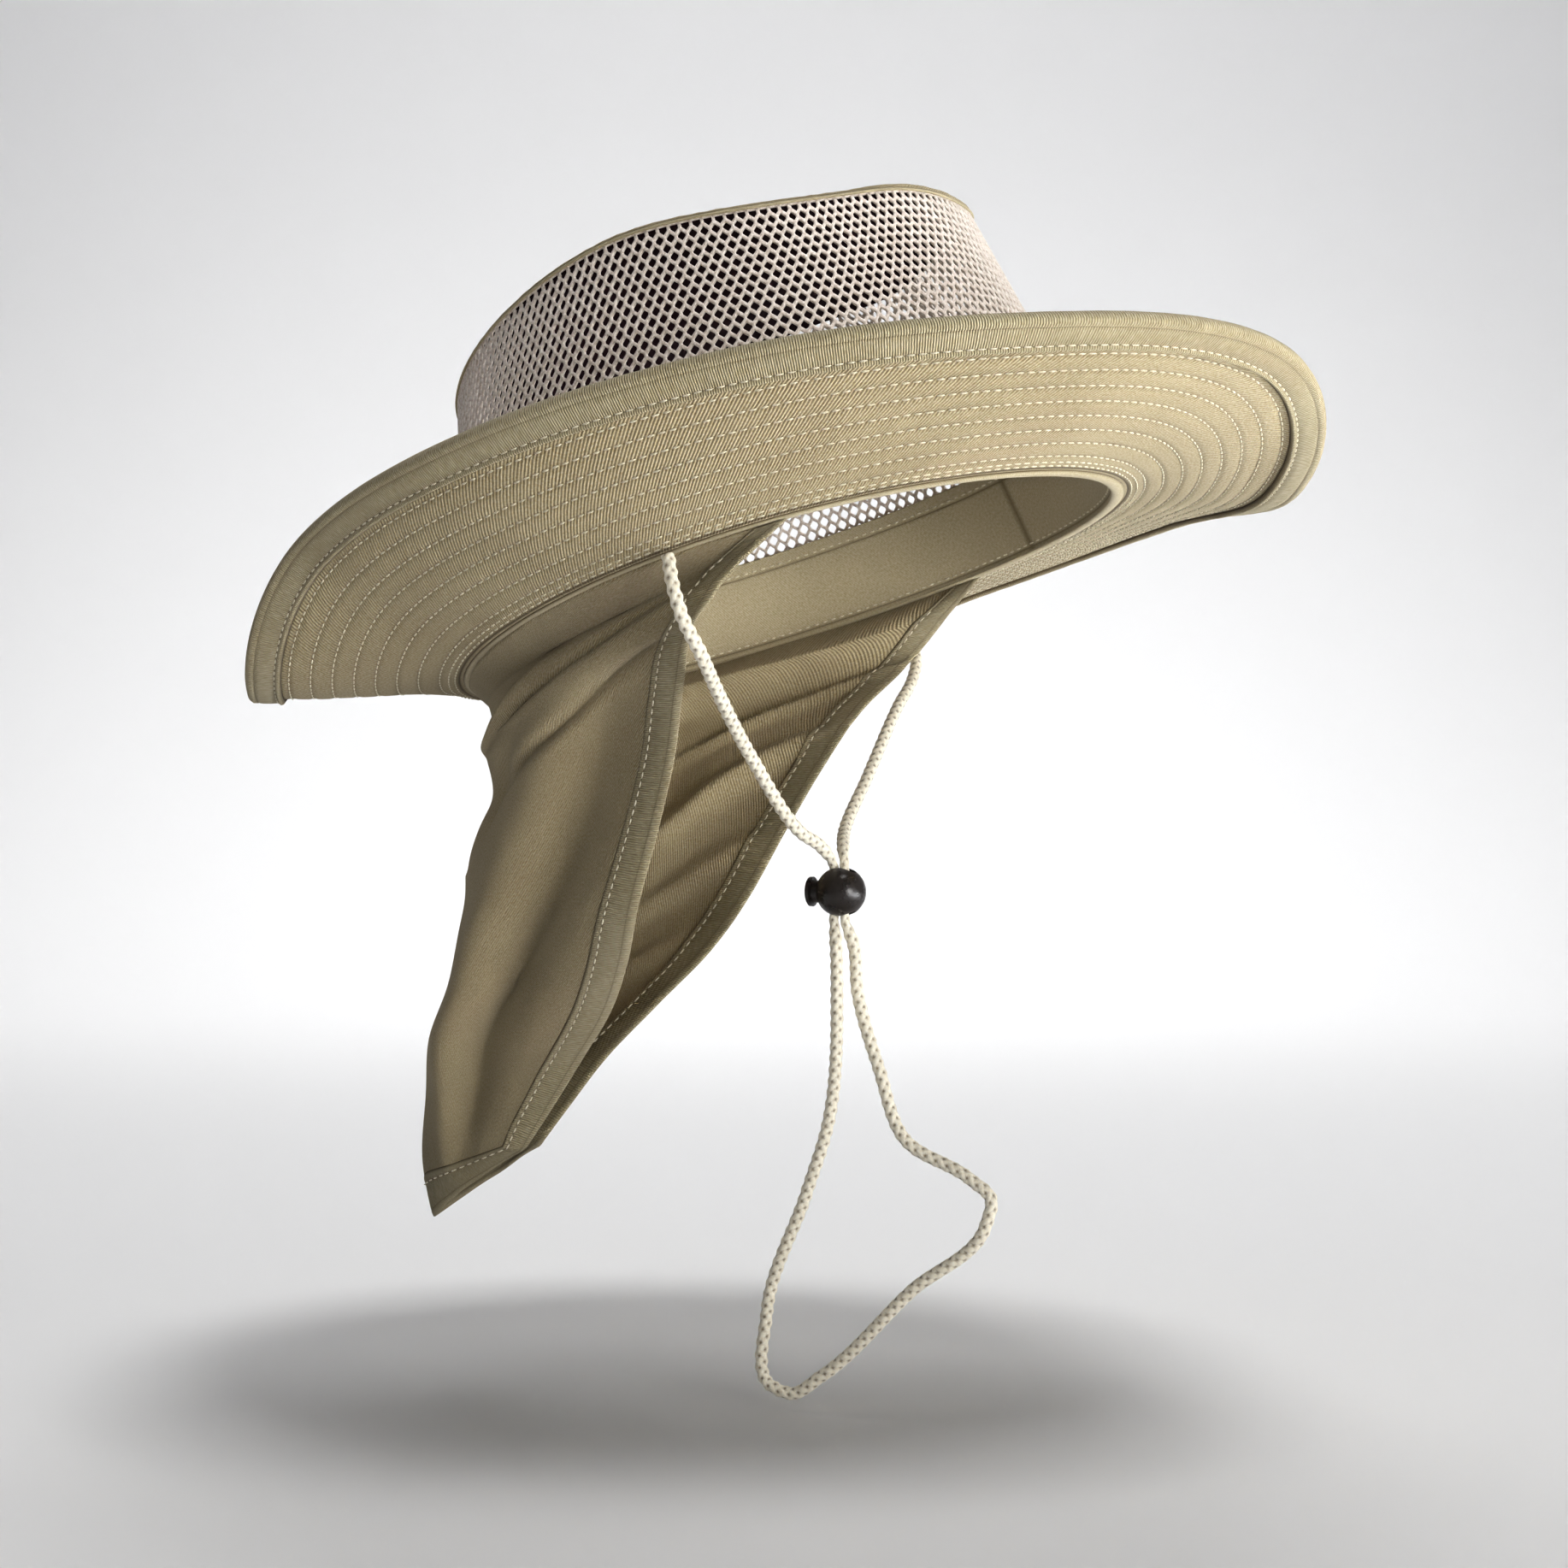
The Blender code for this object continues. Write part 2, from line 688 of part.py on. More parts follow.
def make_lock(finish):
    """Ball with an upright slot for both cord strands and a spring plunger from its back side."""
    radius = LOCK_BALL_DIAMETER / 2
    squeezed = CORD_DIAMETER * CORD_SQUEEZE / 2
    bore = PLUNGER_DIAMETER / 2 + PLUNGER_CLEARANCE
    window_start = LOCK_STRAND_FRONT - squeezed - GAP
    window_end = LOCK_STRAND_BACK + squeezed + GAP + PLUNGER_STROKE
    shaft_end = window_start - PLUNGER_END_WALL
    bore_end = shaft_end - PLUNGER_STROKE - GAP
    flange_face = sqrt(radius * radius - bore * bore) + PLUNGER_STROKE + GAP

    arcs = [pi * i / BALL_RINGS for i in range(1, BALL_RINGS)]
    outline = [(-radius * cos(t), radius * sin(t)) for t in arcs]
    ball = turned("cord_lock_ball", outline, BALL_SEGMENTS, finish)
    half_slot = LOCK_SLOT_LENGTH / 2
    cut(ball, slot_cutter("slot", LOCK_SLOT_WIDTH, -half_slot, half_slot, finish))
    bore_outline = [(bore_end, bore), (2 * radius, bore)]
    cut(ball, hide_cutter(turned("plunger_bore", bore_outline, BALL_SEGMENTS, finish)))

    shaft = PLUNGER_DIAMETER / 2
    disc = FLANGE_DIAMETER / 2
    flange_end = flange_face + FLANGE_THICKNESS
    button = [(shaft_end, shaft), (flange_face, shaft), (flange_face, disc), (flange_end, disc)]
    plunger = turned("cord_lock_plunger", button, BALL_SEGMENTS, finish)
    cut(plunger, slot_cutter("window", PLUNGER_WINDOW_WIDTH, window_start, window_end, finish))


def build():
    clear_scene()
    khaki = material("khaki_twill", (0.43, 0.36, 0.21), 0.9)
    tape = material("khaki_tape", (0.38, 0.32, 0.18), 0.85)
    net = material("beige_net", (0.62, 0.53, 0.40), 0.7)
    cord = material("cream_cord", (0.72, 0.65, 0.48), 0.75)
    plastic = material("black_plastic", (0.012, 0.009, 0.008), 0.25)
    make_sweatband(khaki)
    make_crown_net(net)
    make_crown_top(khaki)
    make_brim(khaki)
    make_brim_tape(tape)
    make_flap(khaki)
    make_flap_tape(tape)
    make_chin_cord(cord)
    make_lock(plastic)


build()
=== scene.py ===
# Flap sun hat: the looks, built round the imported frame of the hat
from functools import lru_cache
from math import cos, exp, pi, radians, sin, tan

import bmesh
import bpy
import numpy as np
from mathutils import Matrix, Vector, noise


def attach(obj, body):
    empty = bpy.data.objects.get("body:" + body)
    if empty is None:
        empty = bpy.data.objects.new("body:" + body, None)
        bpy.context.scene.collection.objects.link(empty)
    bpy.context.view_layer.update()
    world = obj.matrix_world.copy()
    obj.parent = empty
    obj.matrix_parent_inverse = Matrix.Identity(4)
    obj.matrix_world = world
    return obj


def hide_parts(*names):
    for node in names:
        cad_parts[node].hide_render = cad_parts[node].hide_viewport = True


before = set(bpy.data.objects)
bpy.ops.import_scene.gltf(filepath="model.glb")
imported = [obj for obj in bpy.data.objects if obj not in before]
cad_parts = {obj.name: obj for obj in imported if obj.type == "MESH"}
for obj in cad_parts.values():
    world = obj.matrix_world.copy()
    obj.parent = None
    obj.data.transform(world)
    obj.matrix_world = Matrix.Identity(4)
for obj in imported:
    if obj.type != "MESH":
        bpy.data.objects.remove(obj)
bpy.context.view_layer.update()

# the hat's own shape, the same sizes as its solids, in metres
hat = {
    "gap": 0.0003,
    "openingLength": 0.200,
    "openingWidth": 0.164,
    "openingSaddle": 0.0016,
    "tipBack": radians(16.3),
    "crownHeight": 0.100,
    "crownLean": radians(12.5),
    "bandWall": 0.0012,
    "netStandoff": 0.0011,
    "netWall": 0.0012,
    "brimWall": 0.0024,
}

# camera of the photo: place, heading from +X towards +Y, rise above level, lens
cameraView = {
    "place": (-0.6841, -0.2925, -0.0770), "heading": 23.24, "rise": 1.38, "lens": 57.4, "sensor": 36.0,
    "gamma": 0.83, "exposure": 0.15,
}


def makeCamera():
    data = bpy.data.cameras.new("camera")
    data.lens = cameraView["lens"]
    data.sensor_width = cameraView["sensor"]
    camera = bpy.data.objects.new("camera", data)
    bpy.context.collection.objects.link(camera)
    heading = radians(cameraView["heading"])
    rise = radians(cameraView["rise"])
    look = Vector((cos(rise) * cos(heading), cos(rise) * sin(heading), sin(rise)))
    camera.location = cameraView["place"]
    camera.rotation_euler = look.to_track_quat("-Z", "Y").to_euler()
    bpy.context.scene.camera = camera
    view = bpy.context.scene.view_settings
    view.view_transform = "Standard"
    view.gamma = cameraView["gamma"]
    view.exposure = cameraView["exposure"]


makeCamera()
print("camera placed")


def addPiece(name, data, finish, body="hat"):
    piece = bpy.data.objects.new(name, data)
    bpy.context.collection.objects.link(piece)
    data.materials.append(finish)
    data.shade_smooth()
    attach(piece, body)
    return piece


def meshFrom(name, shape):
    data = bpy.data.meshes.new(name)
    shape.to_mesh(data)
    shape.free()
    return data


# a grid whose two shares are turned into places; its UV map is in metres, and a place may
# come with a seam value from 0 to 1, painted shade for how deep it lies in a seam, groove or crease
def mappedGrid(columns, rows, place, width, height, wrapAcross=False, wrapAlong=False):
    sheet = bmesh.new()
    cloth = sheet.loops.layers.uv.new("cloth")
    seam = sheet.verts.layers.float.new("seam")
    bmesh.ops.create_grid(sheet, x_segments=columns, y_segments=rows, size=0.5, calc_uvs=True)
    for face in sheet.faces:
        for loop in face.loops:
            loop[cloth].uv = ((loop.vert.co.x + 0.5) * width, (loop.vert.co.y + 0.5) * height)
    for vert in sheet.verts:
        spot = place(vert.co.x + 0.5, vert.co.y + 0.5)
        if isinstance(spot, tuple):
            spot, vert[seam] = spot
        vert.co = spot
    if wrapAcross or wrapAlong:
        bmesh.ops.remove_doubles(sheet, verts=sheet.verts, dist=1e-6)
    if wrapAcross and wrapAlong:
        bmesh.ops.recalc_face_normals(sheet, faces=sheet.faces)
    return sheet


def giveWall(piece, wall):
    solid = piece.modifiers.new("wall", "SOLIDIFY")
    solid.thickness = wall
    solid.offset = 0.0
    solid.use_even_offset = True
    return solid


# shading helpers
def newFinish(name, roughness, sheen=0.0):
    finish = bpy.data.materials.new(name)
    finish.use_nodes = True
    shader = finish.node_tree.nodes["Principled BSDF"]
    shader.inputs["Roughness"].default_value = roughness
    shader.inputs["Sheen Weight"].default_value = sheen
    return finish, finish.node_tree, shader


def addNode(tree, kind, **settings):
    node = tree.nodes.new(kind)
    for key, value in settings.items():
        if hasattr(node, key):
            setattr(node, key, value)
        else:
            node.inputs[key.replace("_", " ")].default_value = value
    return node


def noiseNode(tree, source, scale, detail, roughness):
    texture = addNode(tree, "ShaderNodeTexNoise", Scale=scale, Detail=detail, Roughness=roughness)
    tree.links.new(source, texture.inputs["Vector"])
    return texture.outputs["Fac"]


def waveNode(tree, source, pitch, turn, distortion):
    spin = addNode(tree, "ShaderNodeMapping")
    spin.inputs["Rotation"].default_value = (0.0, 0.0, turn)
    tree.links.new(source, spin.inputs["Vector"])
    wave = addNode(tree, "ShaderNodeTexWave", Scale=pi / (10.0 * pitch), Distortion=distortion)
    tree.links.new(spin.outputs["Vector"], wave.inputs["Vector"])
    return wave.outputs["Fac"]


def mixColours(tree, factor, first, second):
    mix = addNode(tree, "ShaderNodeMix", data_type="RGBA", blend_type="MIX")
    for socket, value in ((mix.inputs[0], factor), (mix.inputs[6], first), (mix.inputs[7], second)):
        if isinstance(value, bpy.types.NodeSocket):
            tree.links.new(value, socket)
        else:
            socket.default_value = value if isinstance(value, float) else (*value, 1.0)
    return mix.outputs[2]


def spread(tree, source, low, high, toLow=0.0, toHigh=1.0):
    span = addNode(tree, "ShaderNodeMapRange")
    for index, value in enumerate((low, high, toLow, toHigh)):
        span.inputs[index + 1].default_value = value
    tree.links.new(source, span.inputs[0])
    return span.outputs[0]


def addBump(tree, shader, heights):
    normal = None
    for height, distance, strength in heights:
        bump = addNode(tree, "ShaderNodeBump", Strength=strength, Distance=distance)
        tree.links.new(height, bump.inputs["Height"])
        if normal:
            tree.links.new(normal, bump.inputs["Normal"])
        normal = bump.outputs["Normal"]
    tree.links.new(normal, shader.inputs["Normal"])


# woven cloth: diagonal ribs, grain of single threads, soft fading and painted shade in seams, grooves and
# creases
def wovenFinish(name, look):
    finish, tree, shader = newFinish(name, look["roughness"], look["sheen"])
    shader.inputs["Sheen Roughness"].default_value = 0.5
    shader.inputs["Specular IOR Level"].default_value = 0.2
    place = addNode(tree, "ShaderNodeTexCoord").outputs["UV"]
    seam = addNode(tree, "ShaderNodeAttribute", attribute_name="seam").outputs["Fac"]
    ribs = waveNode(tree, place, look["ribPitch"], look["ribTurn"], look["ribWobble"])
    grain = noiseNode(tree, place, look["grainScale"], 2.0, 0.7)
    fading = noiseNode(tree, place, look["fadeScale"], 4.0, 0.6)
    tone = mixColours(tree, spread(tree, fading, 0.32, 0.7), look["colour"], look["faded"])
    tone = mixColours(tree, spread(tree, ribs, 0.0, 1.0, look["ribDepth"], 0.0), tone, look["groove"])
    tone = mixColours(tree, spread(tree, grain, 0.35, 0.75, 0.0, look["grainDepth"]), tone, look["fleck"])
    # the seam value lays the seam colour on as painted shade in grooves and creases
    tone = mixColours(tree, seam, tone, look["seam"])
    tree.links.new(tone, shader.inputs["Base Color"])
    addBump(tree, shader, ((ribs, 0.0003, look["ribBump"]), (grain, 0.00025, look["grainBump"])))
    return finish


# the seam colour of each look is painted shade for grooves and creases
twillLook = {
    "colour": (0.405, 0.322, 0.178), "faded": (0.475, 0.392, 0.23), "groove": (0.17, 0.12, 0.048),
    "fleck": (0.74, 0.69, 0.56), "seam": (0.085, 0.055, 0.02), "roughness": 0.85, "sheen": 0.16,
    "ribPitch": 0.00088, "ribTurn": radians(35), "ribWobble": 0.7, "ribDepth": 0.62, "ribBump": 0.7,
    "grainScale": 1300.0, "grainDepth": 0.42, "grainBump": 0.6, "fadeScale": 24.0,
}
tapeLook = dict(twillLook, ribTurn=radians(6), ribPitch=0.00072, ribDepth=0.62, ribBump=0.8, ribWobble=0.3,
                groove=(0.17, 0.125, 0.055), colour=(0.43, 0.365, 0.22), faded=(0.49, 0.43, 0.28),
                grainDepth=0.3)
bandLook = dict(twillLook, ribPitch=0.0006, ribDepth=0.2, ribBump=0.2, colour=(0.43, 0.365, 0.225),
                faded=(0.49, 0.42, 0.27))
twill = wovenFinish("khakiTwill", twillLook)
tape = wovenFinish("ribbedTape", tapeLook)
bandTwill = wovenFinish("bandTwill", bandLook)


# yarn and thread: fine strands, darkened with painted shade where the seam value says that they lie deep
def threadFinish(name, look):
    finish, tree, shader = newFinish(name, look["roughness"], look["sheen"])
    place = addNode(tree, "ShaderNodeTexCoord").outputs["Object"]
    seam = addNode(tree, "ShaderNodeAttribute", attribute_name="seam").outputs["Fac"]
    strands = noiseNode(tree, place, look["grainScale"], 2.0, 0.6)
    tone = mixColours(tree, spread(tree, strands, 0.35, 0.65), look["shade"], look["colour"])
    tree.links.new(mixColours(tree, seam, tone, look["seam"]), shader.inputs["Base Color"])
    addBump(tree, shader, ((strands, 0.0003, 0.6),))
    return finish


# the seam colours here are painted shade for deep places, such as the gaps of the braid
netLook = {"colour": (0.98, 0.90, 0.83), "shade": (0.70, 0.60, 0.52), "seam": (0.1, 0.07, 0.04),
           "grainScale": 1100.0, "roughness": 0.42, "sheen": 0.3}
cordLook = {"colour": (0.99, 0.95, 0.83), "shade": (0.92, 0.85, 0.69), "seam": (0.22, 0.16, 0.08),
            "grainScale": 1500.0, "roughness": 0.5, "sheen": 0.3}
sewingLook = {"colour": (0.88, 0.83, 0.70), "shade": (0.66, 0.60, 0.44), "seam": (0.2, 0.15, 0.08),
              "grainScale": 1500.0, "roughness": 0.6, "sheen": 0.1}
netYarn = threadFinish("netYarn", netLook)
cordYarn = threadFinish("cordYarn", cordLook)
sewingThread = threadFinish("sewingThread", sewingLook)


# inside of the crown top: near black, painted shade for the dark inside of the crown
def insideShadeFinish():
    finish, tree, shader = newFinish("crownInsideShade", 0.95)
    shader.inputs["Specular IOR Level"].default_value = 0.05
    place = addNode(tree, "ShaderNodeTexCoord").outputs["Object"]
    grain = noiseNode(tree, place, 900.0, 2.0, 0.6)
    tone = mixColours(tree, grain, (0.014, 0.005, 0.008), (0.026, 0.011, 0.014))
    tree.links.new(tone, shader.inputs["Base Color"])
    return finish


def plasticFinish():
    finish, tree, shader = newFinish("blackPlastic", 0.28)
    shader.inputs["Specular IOR Level"].default_value = 0.6
    place = addNode(tree, "ShaderNodeTexCoord").outputs["Object"]
    grain = noiseNode(tree, place, 2200.0, 2.0, 0.5)
    smears = noiseNode(tree, place, 260.0, 3.0, 0.6)
    tone = mixColours(tree, smears, (0.012, 0.009, 0.008), (0.030, 0.022, 0.018))
    tree.links.new(tone, shader.inputs["Base Color"])
    tree.links.new(spread(tree, smears, 0.3, 0.7, 0.22, 0.38), shader.inputs["Roughness"])
    addBump(tree, shader, ((grain, 0.00005, 0.35),))
    return finish


crownInsideShade = insideShadeFinish()
blackPlastic = plasticFinish()
print("finishes made")


# chin cord: its route's own points and its braid
cord = {
    "diameter": 0.004, "squeeze": 0.75, "squeezeReach": 0.68, "sides": 28, "ringStep": 0.00042,
    "pathStep": 0.0012,
    "easing": 0.8, "strands": 3, "braidPitch": 0.0034, "braidDepth": 0.26, "shadeFrom": 1.25, "shadeRate": 2.2,
    "skin": 0.0126,
    "route": (
        (-0.0890, -0.0035, -0.0005), (-0.0905, -0.0055, -0.0080), (-0.0890, -0.0075, -0.0165),
        (-0.0810, -0.0090, -0.0255), (-0.0680, -0.0075, -0.0340), (-0.0400, -0.0065, -0.0535),
        (-0.0165, -0.0110, -0.0735), (-0.0050, -0.0135, -0.0785), (-0.0003, -0.0147, -0.0832),
        (0.0000, -0.0148, -0.0880), (0.0000, -0.0148, -0.0940), (-0.0001, -0.0148, -0.0990),
        (-0.0016, -0.0160, -0.1060), (-0.0020, -0.0165, -0.1200), (-0.0008, -0.0130, -0.1600),
        (0.0000, -0.0060, -0.1800), (0.0005, 0.0070, -0.2160), (0.0005, 0.0060, -0.2375),
        (0.0005, -0.0010, -0.2395), (0.0005, -0.0100, -0.2340), (0.0005, -0.0390, -0.2065),
        (0.0005, -0.0615, -0.1865), (0.0005, -0.0630, -0.1785), (0.0005, -0.0570, -0.1735),
        (0.0005, -0.0365, -0.1625), (0.0014, -0.0285, -0.1430), (0.0024, -0.0212, -0.1200),
        (0.0020, -0.0203, -0.1070), (0.0001, -0.0182, -0.0990), (0.0000, -0.0181, -0.0940),
        (0.0000, -0.0181, -0.0880), (0.0003, -0.0180, -0.0832), (0.0055, -0.0155, -0.0780),
        (0.0150, -0.0120, -0.0735), (0.0385, -0.0105, -0.0560), (0.0650, -0.0105, -0.0330),
        (0.0800, -0.0100, -0.0230), (0.0885, -0.0080, -0.0155), (0.0908, -0.0055, -0.0080),
        (0.0893, -0.0035, -0.0010)),
}
lock = {
    "centre": (0.0, -0.0170, -0.0910), "ballDiameter": 0.0148, "slotWidth": 0.0046, "slotLength": 0.0096,
    "shaft": 0.0033, "bore": 0.0036, "boreEnd": -0.0060, "stroke": 0.0018,
    "windowWidth": 0.0038, "windowStart": -0.0029, "windowEnd": 0.0058,
    "button": ((-0.0040, 0.0), (-0.0040, 0.0033), (0.0086, 0.0033), (0.0086, 0.0040), (0.0088, 0.0044),
               (0.0097, 0.0044), (0.0100, 0.0040), (0.0101, 0.0)),
}


# the same smooth curve as the cord's solid, with its points evenly apart
def smoothRoute(route, spacing):
    points = [Vector(point) for point in route]
    gaps = [(b - a).length for a, b in zip(points, points[1:])]
    slopes = [(points[1] - points[0]) / gaps[0]]
    for i in range(1, len(points) - 1):
        arriving = (points[i] - points[i - 1]) / gaps[i - 1]
        leaving = (points[i + 1] - points[i]) / gaps[i]
        share = gaps[i - 1] / (gaps[i - 1] + gaps[i])
        slopes.append(arriving * (1 - share) + leaving * share)
    slopes.append((points[-1] - points[-2]) / gaps[-1])
    smooth = []
    for i, gap in enumerate(gaps):
        pieces = max(1, round(gap / spacing))
        for k in range(pieces):
            t = k / pieces
            start = points[i] * (1 + t * t * (2 * t - 3)) + slopes[i] * gap * t * (1 - t) ** 2
            smooth.append(start + points[i + 1] * t * t * (3 - 2 * t) - slopes[i + 1] * gap * t * t * (1 - t))
    smooth.append(points[-1])
    return smooth


# directions square to the line that turn as little as they can along it
def lineFrames(points):
    frames = []
    side = Vector((0.0, 0.0, 1.0))
    for i, point in enumerate(points):
        run = (points[min(i + 1, len(points) - 1)] - points[max(i - 1, 0)]).normalized()
        side = (side - run * side.dot(run)).normalized()
        frames.append((point, side, run.cross(side)))
    return frames


# height of a round plait: two sets of strands that pass over and under each other
def plait(around, travel):
    one, other = around + travel, around - travel
    crossing = cos(pi * (round(one) + other))
    answering = cos(pi * (round(other) + one))
    first = cos(pi * (one - round(one))) * (0.66 + 0.34 * crossing)
    second = cos(pi * (other - round(other))) * (0.66 - 0.34 * answering)
    return max(first, second)


def makeChinCord():
    points = smoothRoute(cord["route"], cord["ringStep"])
    length = sum((b - a).length for a, b in zip(points, points[1:]))
    frames = lineFrames(points)
    centre = Vector(lock["centre"])
    reach = lock["ballDiameter"] * cord["squeezeReach"]
    last = len(points) - 1
    radius = cord["diameter"] / 2

    def place(along, around):
        index = round(along * last)
        point, side, up = frames[index]
        turn = 2 * pi * around
        high = plait(cord["strands"] * around, length * along / cord["braidPitch"])
        near = (point - centre).length / reach
        squeeze = cord["squeeze"] if near < 1 else min(cord["squeeze"] + (near - 1) * cord["easing"], 1.0)
        size = radius * squeeze * (1 - cord["braidDepth"] * (1 - high))
        # painted shade: darker in the gaps between the braid's strands
        shade = min(max(cord["shadeFrom"] - cord["shadeRate"] * high, 0.0), 1.0)
        return point + side * (size * cos(turn)) + up * (size * sin(turn)), shade
    tube = mappedGrid(last, cord["sides"], place, length, cord["skin"], wrapAlong=True)
    bmesh.ops.holes_fill(tube, edges=[edge for edge in tube.edges if edge.is_boundary], sides=0)
    bmesh.ops.recalc_face_normals(tube, faces=tube.faces)
    piece = addPiece("chinCord", meshFrom("chinCord", tube), cordYarn)
    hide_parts("chin_cord")
    return piece, length


# outline turned about the Y axis
def turnedShape(name, outline, finish, steps=48):
    shape = bmesh.new()
    verts = [shape.verts.new((radius, along, 0.0)) for along, radius in outline]
    edges = [shape.edges.new(pair) for pair in zip(verts, verts[1:])]
    bmesh.ops.spin(shape, geom=verts + edges, cent=(0, 0, 0), axis=(0, 1, 0), angle=2 * pi, steps=steps,
                   use_merge=True)
    bmesh.ops.remove_doubles(shape, verts=shape.verts, dist=1e-6)
    bmesh.ops.translate(shape, verts=shape.verts, vec=lock["centre"])
    bmesh.ops.recalc_face_normals(shape, faces=shape.faces)
    piece = bpy.data.objects.new(name, meshFrom(name, shape))
    bpy.context.collection.objects.link(piece)
    piece.data.materials.append(finish)
    return piece


# upright slot with round ends, from start to end along Y
def slotShape(name, width, start, end, finish):
    shape = bmesh.new()
    half = width / 2
    outline = []
    for middle, base in ((end - half, 0.0), (start + half, pi)):
        for i in range(13):
            turn = base + pi * i / 12
            spot = (half * cos(turn), middle + half * sin(turn), -lock["ballDiameter"])
            outline.append(shape.verts.new(spot))
    floor = bmesh.ops.contextual_create(shape, geom=outline)["faces"]
    lifted = bmesh.ops.extrude_face_region(shape, geom=floor)["geom"]
    bmesh.ops.translate(shape, verts=[part for part in lifted if isinstance(part, bmesh.types.BMVert)],
                        vec=(0, 0, 2 * lock["ballDiameter"]))
    bmesh.ops.translate(shape, verts=shape.verts, vec=lock["centre"])
    bmesh.ops.recalc_face_normals(shape, faces=shape.faces)
    piece = bpy.data.objects.new(name, meshFrom(name, shape))
    bpy.context.collection.objects.link(piece)
    piece.data.materials.append(finish)
    return piece


# the piece with the cutters' shapes taken out of it; the cutters are used up
def carved(name, piece, cutters, body, node):
    for cutter in cutters:
        cut = piece.modifiers.new(cutter.name, "BOOLEAN")
        cut.operation = "DIFFERENCE"
        cut.object = cutter
    graph = bpy.context.evaluated_depsgraph_get()
    data = bpy.data.meshes.new_from_object(piece.evaluated_get(graph))
    data.name = name
    for used in (piece, *cutters):
        bpy.data.objects.remove(used)
    data.materials.clear()
    result = addPiece(name, data, blackPlastic, body)
    data.set_sharp_from_angle(angle=radians(35))
    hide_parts(node)
    return result


def makeLock():
    radius = lock["ballDiameter"] / 2
    arc = [(-radius * cos(pi * i / 32), radius * sin(pi * i / 32)) for i in range(33)]
    ball = turnedShape("ballBlank", arc, blackPlastic, 64)
    slot = slotShape("slot", lock["slotWidth"], -lock["slotLength"] / 2, lock["slotLength"] / 2, blackPlastic)
    tunnel = ((lock["boreEnd"], 0.0), (lock["boreEnd"], lock["bore"]), (2 * radius, lock["bore"]),
              (2 * radius, 0.0))
    bore = turnedShape("bore", tunnel, blackPlastic)
    ball = carved("lockBall", ball, [slot, bore], "hat", "cord_lock_ball")
    button = turnedShape("buttonBlank", lock["button"], blackPlastic)
    window = slotShape("window", lock["windowWidth"], lock["windowStart"], lock["windowEnd"], blackPlastic)
    plunger = carved("lockPlunger", button, [window], "plunger", "cord_lock_plunger")
    return ball, plunger


chinCord, cordLength = makeChinCord()
lockBall, lockPlunger = makeLock()
print("cord made, metres long:", round(cordLength, 4))


# values between the rows of a table, on a smooth curve; a closed table repeats after 360
def blendRows(table, key, closed=False):
    rows = list(table)
    if closed:
        key = (key + 180.0) % 360.0 - 180.0
        rows = [(rows[-1][0] - 360.0, *rows[-1][1:])] + rows
        rows += [(row[0] + 360.0, *row[1:]) for row in table[:2]]
    index = max(i for i in range(len(rows) - 1) if rows[i][0] <= key or i == 0)
    lower, upper = rows[index], rows[index + 1]
    before, after = rows[max(index - 1, 0)], rows[min(index + 2, len(rows) - 1)]
    t = (key - lower[0]) / (upper[0] - lower[0])
    values = []
    for a, b, c, d in zip(before[1:], lower[1:], upper[1:], after[1:]):
        values.append(b + 0.5 * t * (c - a + t * (2 * a - 5 * b + 4 * c - d + t * (3 * (b - c) + d - a))))
    return values


def tipped(x, y, z):
    lean = hat["tipBack"]
    return Vector((x, y * cos(lean) + z * sin(lean), z * cos(lean) - y * sin(lean)))


def openingFrame(angle):
    t = radians(angle)
    halfWidth = hat["openingWidth"] / 2
    halfLength = hat["openingLength"] / 2
    out = Vector((sin(t) / halfWidth, -cos(t) / halfLength, 0.0)).normalized()
    spot = Vector((halfWidth * sin(t), -halfLength * cos(t), -hat["openingSaddle"] * cos(2 * t)))
    return spot, out


# noise that meets itself after a full turn round the hat; fineness is steps per degree
def ringNoise(angle, fineness, level):
    turn = radians(angle)
    reach = fineness * 180.0 / pi
    return noise.noise(Vector((reach * cos(turn), reach * sin(turn), level)))


def rimPoint(angle, offset, height):
    point, out = openingFrame(angle)
    point = point + out * offset
    return tipped(point.x, point.y, point.z + height)


# crown: heights round the hat, the pinches at its front sides and the dent of its top
crown = {
    "heights": (
        # angle from the front, height as a share of the crown's
        (0, 0.895), (30, 0.916), (60, 0.902), (90, 0.933), (120, 0.888), (150, 0.825), (180, 0.78),
    ),
    "pinchDepth": 0.0045, "pinchAngle": 42.0, "pinchSpread": 15.0,
    "topProfile": (
        # share along the section, share inward, share of the rounding
        (0.00, 0.00, -1.0), (0.20, 0.00, 0.0), (0.30, 0.02, 0.6), (0.40, 0.08, 0.95),
        (0.55, 0.22, 1.0), (0.70, 0.42, 0.9), (0.85, 0.66, 0.8), (1.00, 0.88, 0.7),
    ),
    "topBand": 0.0008, "topRounding": 0.0007, "topCentre": 0.92,
    "dentDepth": 0.006, "dentWidth": 0.030, "dentLength": 0.062,
    "topWall": 0.0014, "columns": 200, "rows": 44, "topCloth": (0.45, 0.09),
    "puckers": 0.00010, "puckerLine": 0.16, "puckerReach": 0.05, "puckersRound": 109,
    "edgeShade": 0.6, "edgeReach": 0.05, "centreReach": 0.03,
    "piping": 0.00045, "pipingColumns": 300, "pipingSides": 10, "pipingCloth": (0.45, 0.005),
    "stitchShare": 0.34,
}


def pinch(angle, height):
    near = (abs((angle + 180.0) % 360.0 - 180.0) - crown["pinchAngle"]) / crown["pinchSpread"]
    rise = min(max(height / hat["crownHeight"], 0.0), 1.2)
    return crown["pinchDepth"] * exp(-near * near) * rise * rise


